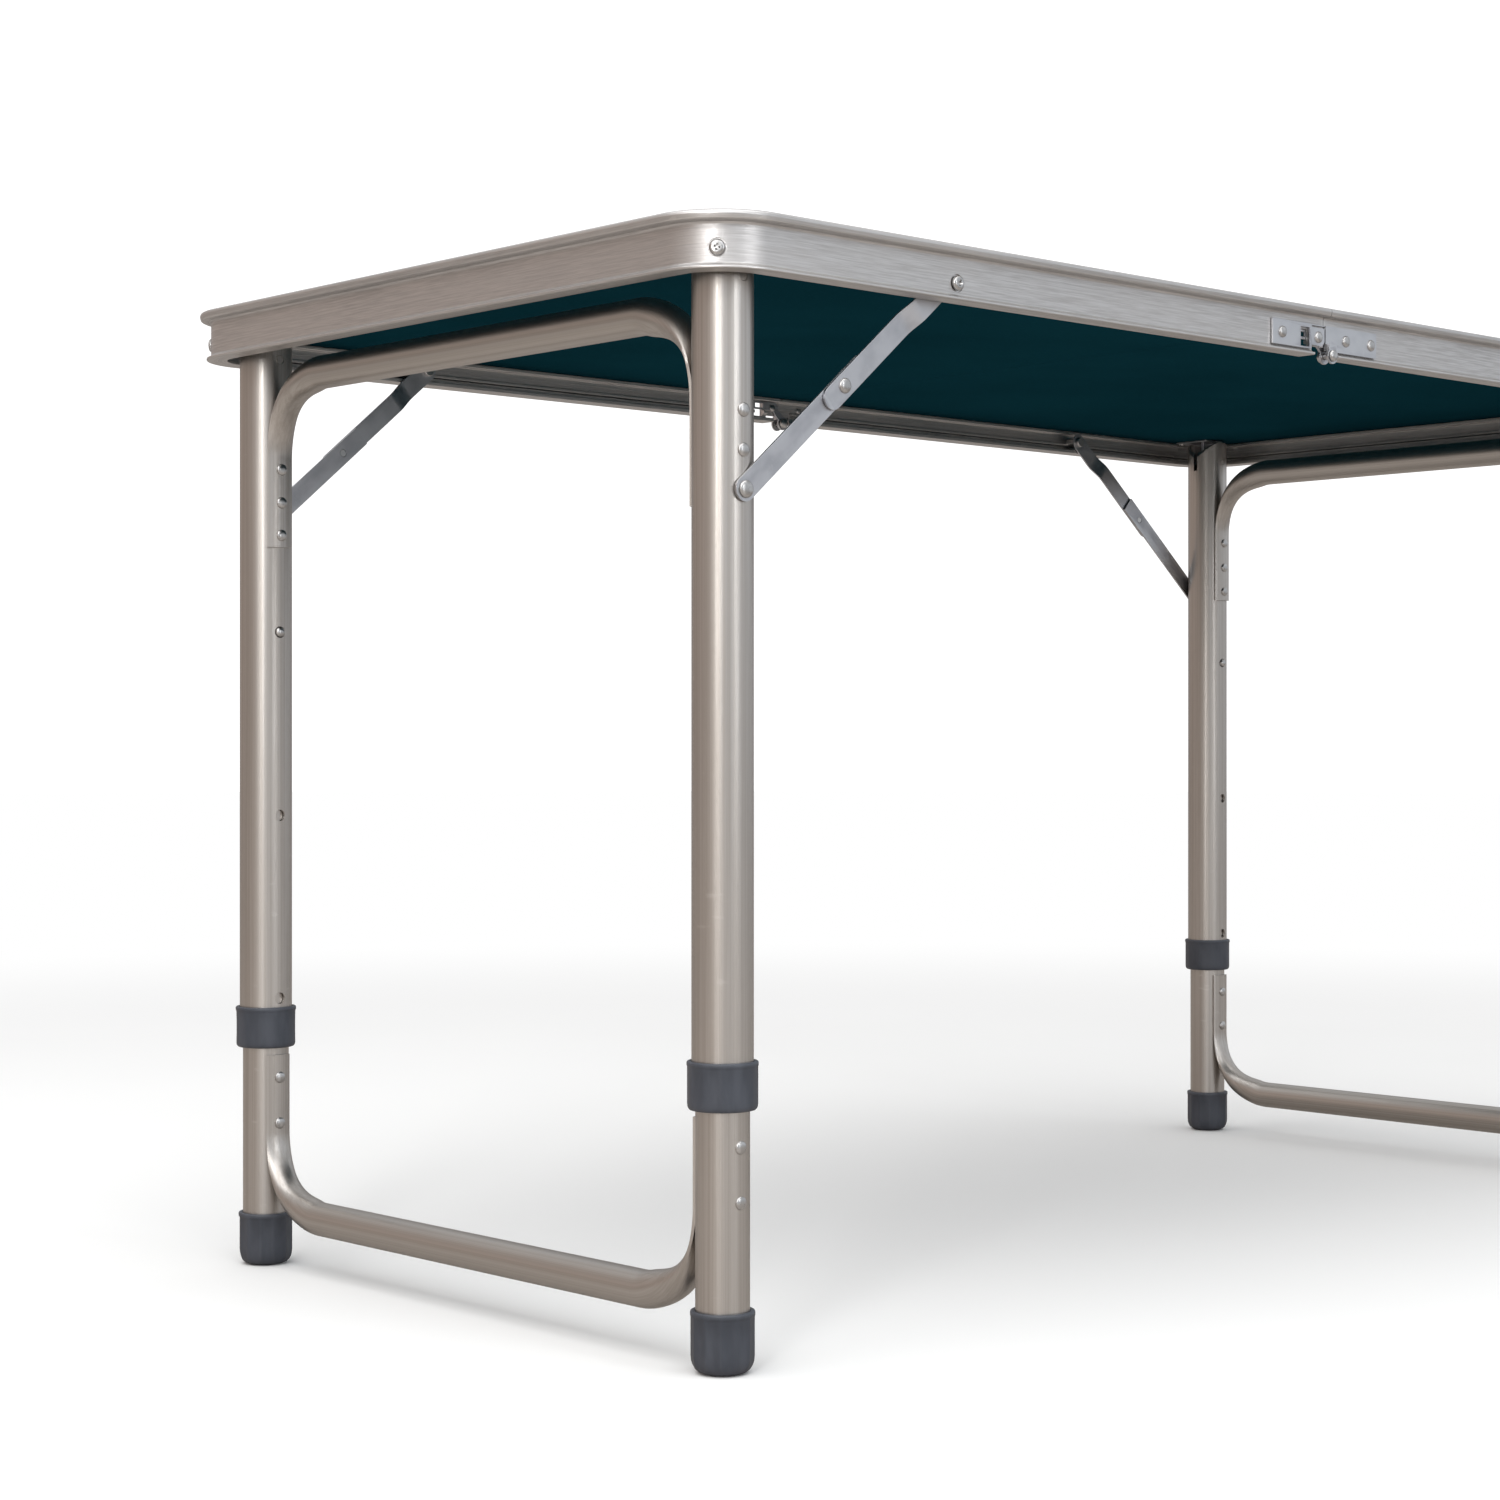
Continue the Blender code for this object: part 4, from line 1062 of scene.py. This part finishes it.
def floor():
    """A pale floor that runs out into the white backdrop. Glancing light off it is kept low and
    warm, so that the tubes keep their shape near the ground."""
    bm = bmesh.new()
    bmesh.ops.create_circle(bm, cap_ends=True, segments=96, radius=24.0)
    mesh = bpy.data.meshes.new("studio_floor")
    bm.to_mesh(mesh)
    bm.free()
    made = bpy.data.objects.new("studio_floor", mesh)
    made.location = (0.0, 0.0, -0.0002)
    bpy.context.scene.collection.objects.link(made)
    f = Finish("pale_floor")
    here = f.node("ShaderNodeTexCoord", out="Object")
    away = f.node("ShaderNodeVectorMath", {"operation": "LENGTH"}, {0: here}, out="Value")
    soft = f.noise(here, 3.0, 2.0)
    seen = f.node("ShaderNodeLightPath", out="Is Camera Ray")
    pale = f.tint(soft, (0.945, 0.95, 0.945), (0.965, 0.97, 0.965))
    f.paint(base_color=f.tint(seen, (0.46, 0.42, 0.385), pale), roughness=0.55)
    f.surface.inputs["Specular IOR Level"].default_value = 0.1
    white = f.node("ShaderNodeEmission", None, {"Color": (1.0, 1.0, 1.0, 1.0), "Strength": 1.0})
    plain = Amount(f, f.surface.outputs[0])
    fade = f.spread(away, 1.2, 3.4) * seen
    mix = f.node("ShaderNodeMixShader", None, {0: fade, 1: plain, 2: white})
    f.tree.links.new(mix.socket, f.tree.nodes["Material Output"].inputs["Surface"])
    mesh.materials.append(f.material)


def lamp(name, place, target, size, power, colour):
    light = bpy.data.lights.new(name, "AREA")
    light.shape = "RECTANGLE"
    light.size, light.size_y = size
    light.energy = power
    light.color = colour
    made = bpy.data.objects.new(name, light)
    made.location = place
    made.rotation_euler = (Vector(target) - Vector(place)).to_track_quat("-Z", "Y").to_euler()
    bpy.context.scene.collection.objects.link(made)
    return made


def studio():
    """A white room: cool light from the front and right, a warm wall behind on the left."""
    world = bpy.data.worlds.new("studio")
    bpy.context.scene.world = world
    world.use_nodes = True
    f = Wiring(world.node_tree)
    way = f.node("ShaderNodeTexCoord", out="Generated")
    x = f.node("ShaderNodeSeparateXYZ", None, {0: way}, out=0)
    y = f.node("ShaderNodeSeparateXYZ", None, {0: way}, out=1)
    z = f.node("ShaderNodeSeparateXYZ", None, {0: way}, out=2)
    warm = f.spread(y * 0.6 - x * 0.8, -0.05, 0.75)
    room = f.tint(warm, (0.74, 0.775, 0.82), (0.50, 0.415, 0.37))
    room = f.tint(f.spread(x * 0.7 + y * 0.7, 0.70, 0.97), room, (0.27, 0.255, 0.25))
    room = f.tint(f.spread(z, 0.25, 0.9), room, (0.66, 0.66, 0.66))
    seen = f.node("ShaderNodeLightPath", out="Is Camera Ray")
    room = f.tint(seen, room, (1.2, 1.2, 1.2))
    f.tree.links.new(room.socket, f.tree.nodes["Background"].inputs["Color"])
    lamp("left_softbox", (-2.85, -1.62, 1.30), (-0.5, -0.2, 0.55), (0.55, 1.7), 22.0, (1.0, 0.99, 0.975))
    lamp("front_softbox", (-0.10, -3.1, 1.20), (-0.4, -0.2, 0.5), (0.5, 1.6), 10.0, (0.98, 0.99, 1.0))
    lamp("top_softbox", (-1.1, -0.7, 3.0), (-0.2, 0.0, 0.0), (4.4, 4.4), 104.0, (1.0, 1.0, 1.0))
    bpy.context.scene.view_settings.view_transform = "Standard"


def camera():
    lens = bpy.data.cameras.new("studio_camera")
    lens.lens, lens.sensor_width = 68.6, 36.0
    lens.clip_start, lens.clip_end = 0.05, 100.0
    made = bpy.data.objects.new("studio_camera", lens)
    made.location = (-1.7097, -1.5462, 0.3780)
    made.rotation_euler = (math.radians(90.0), 0.0, math.radians(-42.40))
    bpy.context.scene.collection.objects.link(made)
    bpy.context.scene.camera = made


def main():
    for old in list(bpy.data.objects):
        bpy.data.objects.remove(old, do_unlink=True)
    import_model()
    camera()
    finishes = {
        "brushed_rim": (brushed_rim(), "edge_aluminium"),
        "drawn_tube": (drawn_tube(), "leg_aluminium"),
        "pressed_zinc": (pressed_zinc(), "zinc_steel"),
        "bright_plate": (bright_plate(), "plated_screw"),
        "moulded_plastic": (moulded_plastic(), "slate_plastic"),
        "board_laminate": (board_laminate(), "top_laminate"),
    }
    build_table(Maker(finishes))
    floor()
    studio()


main()
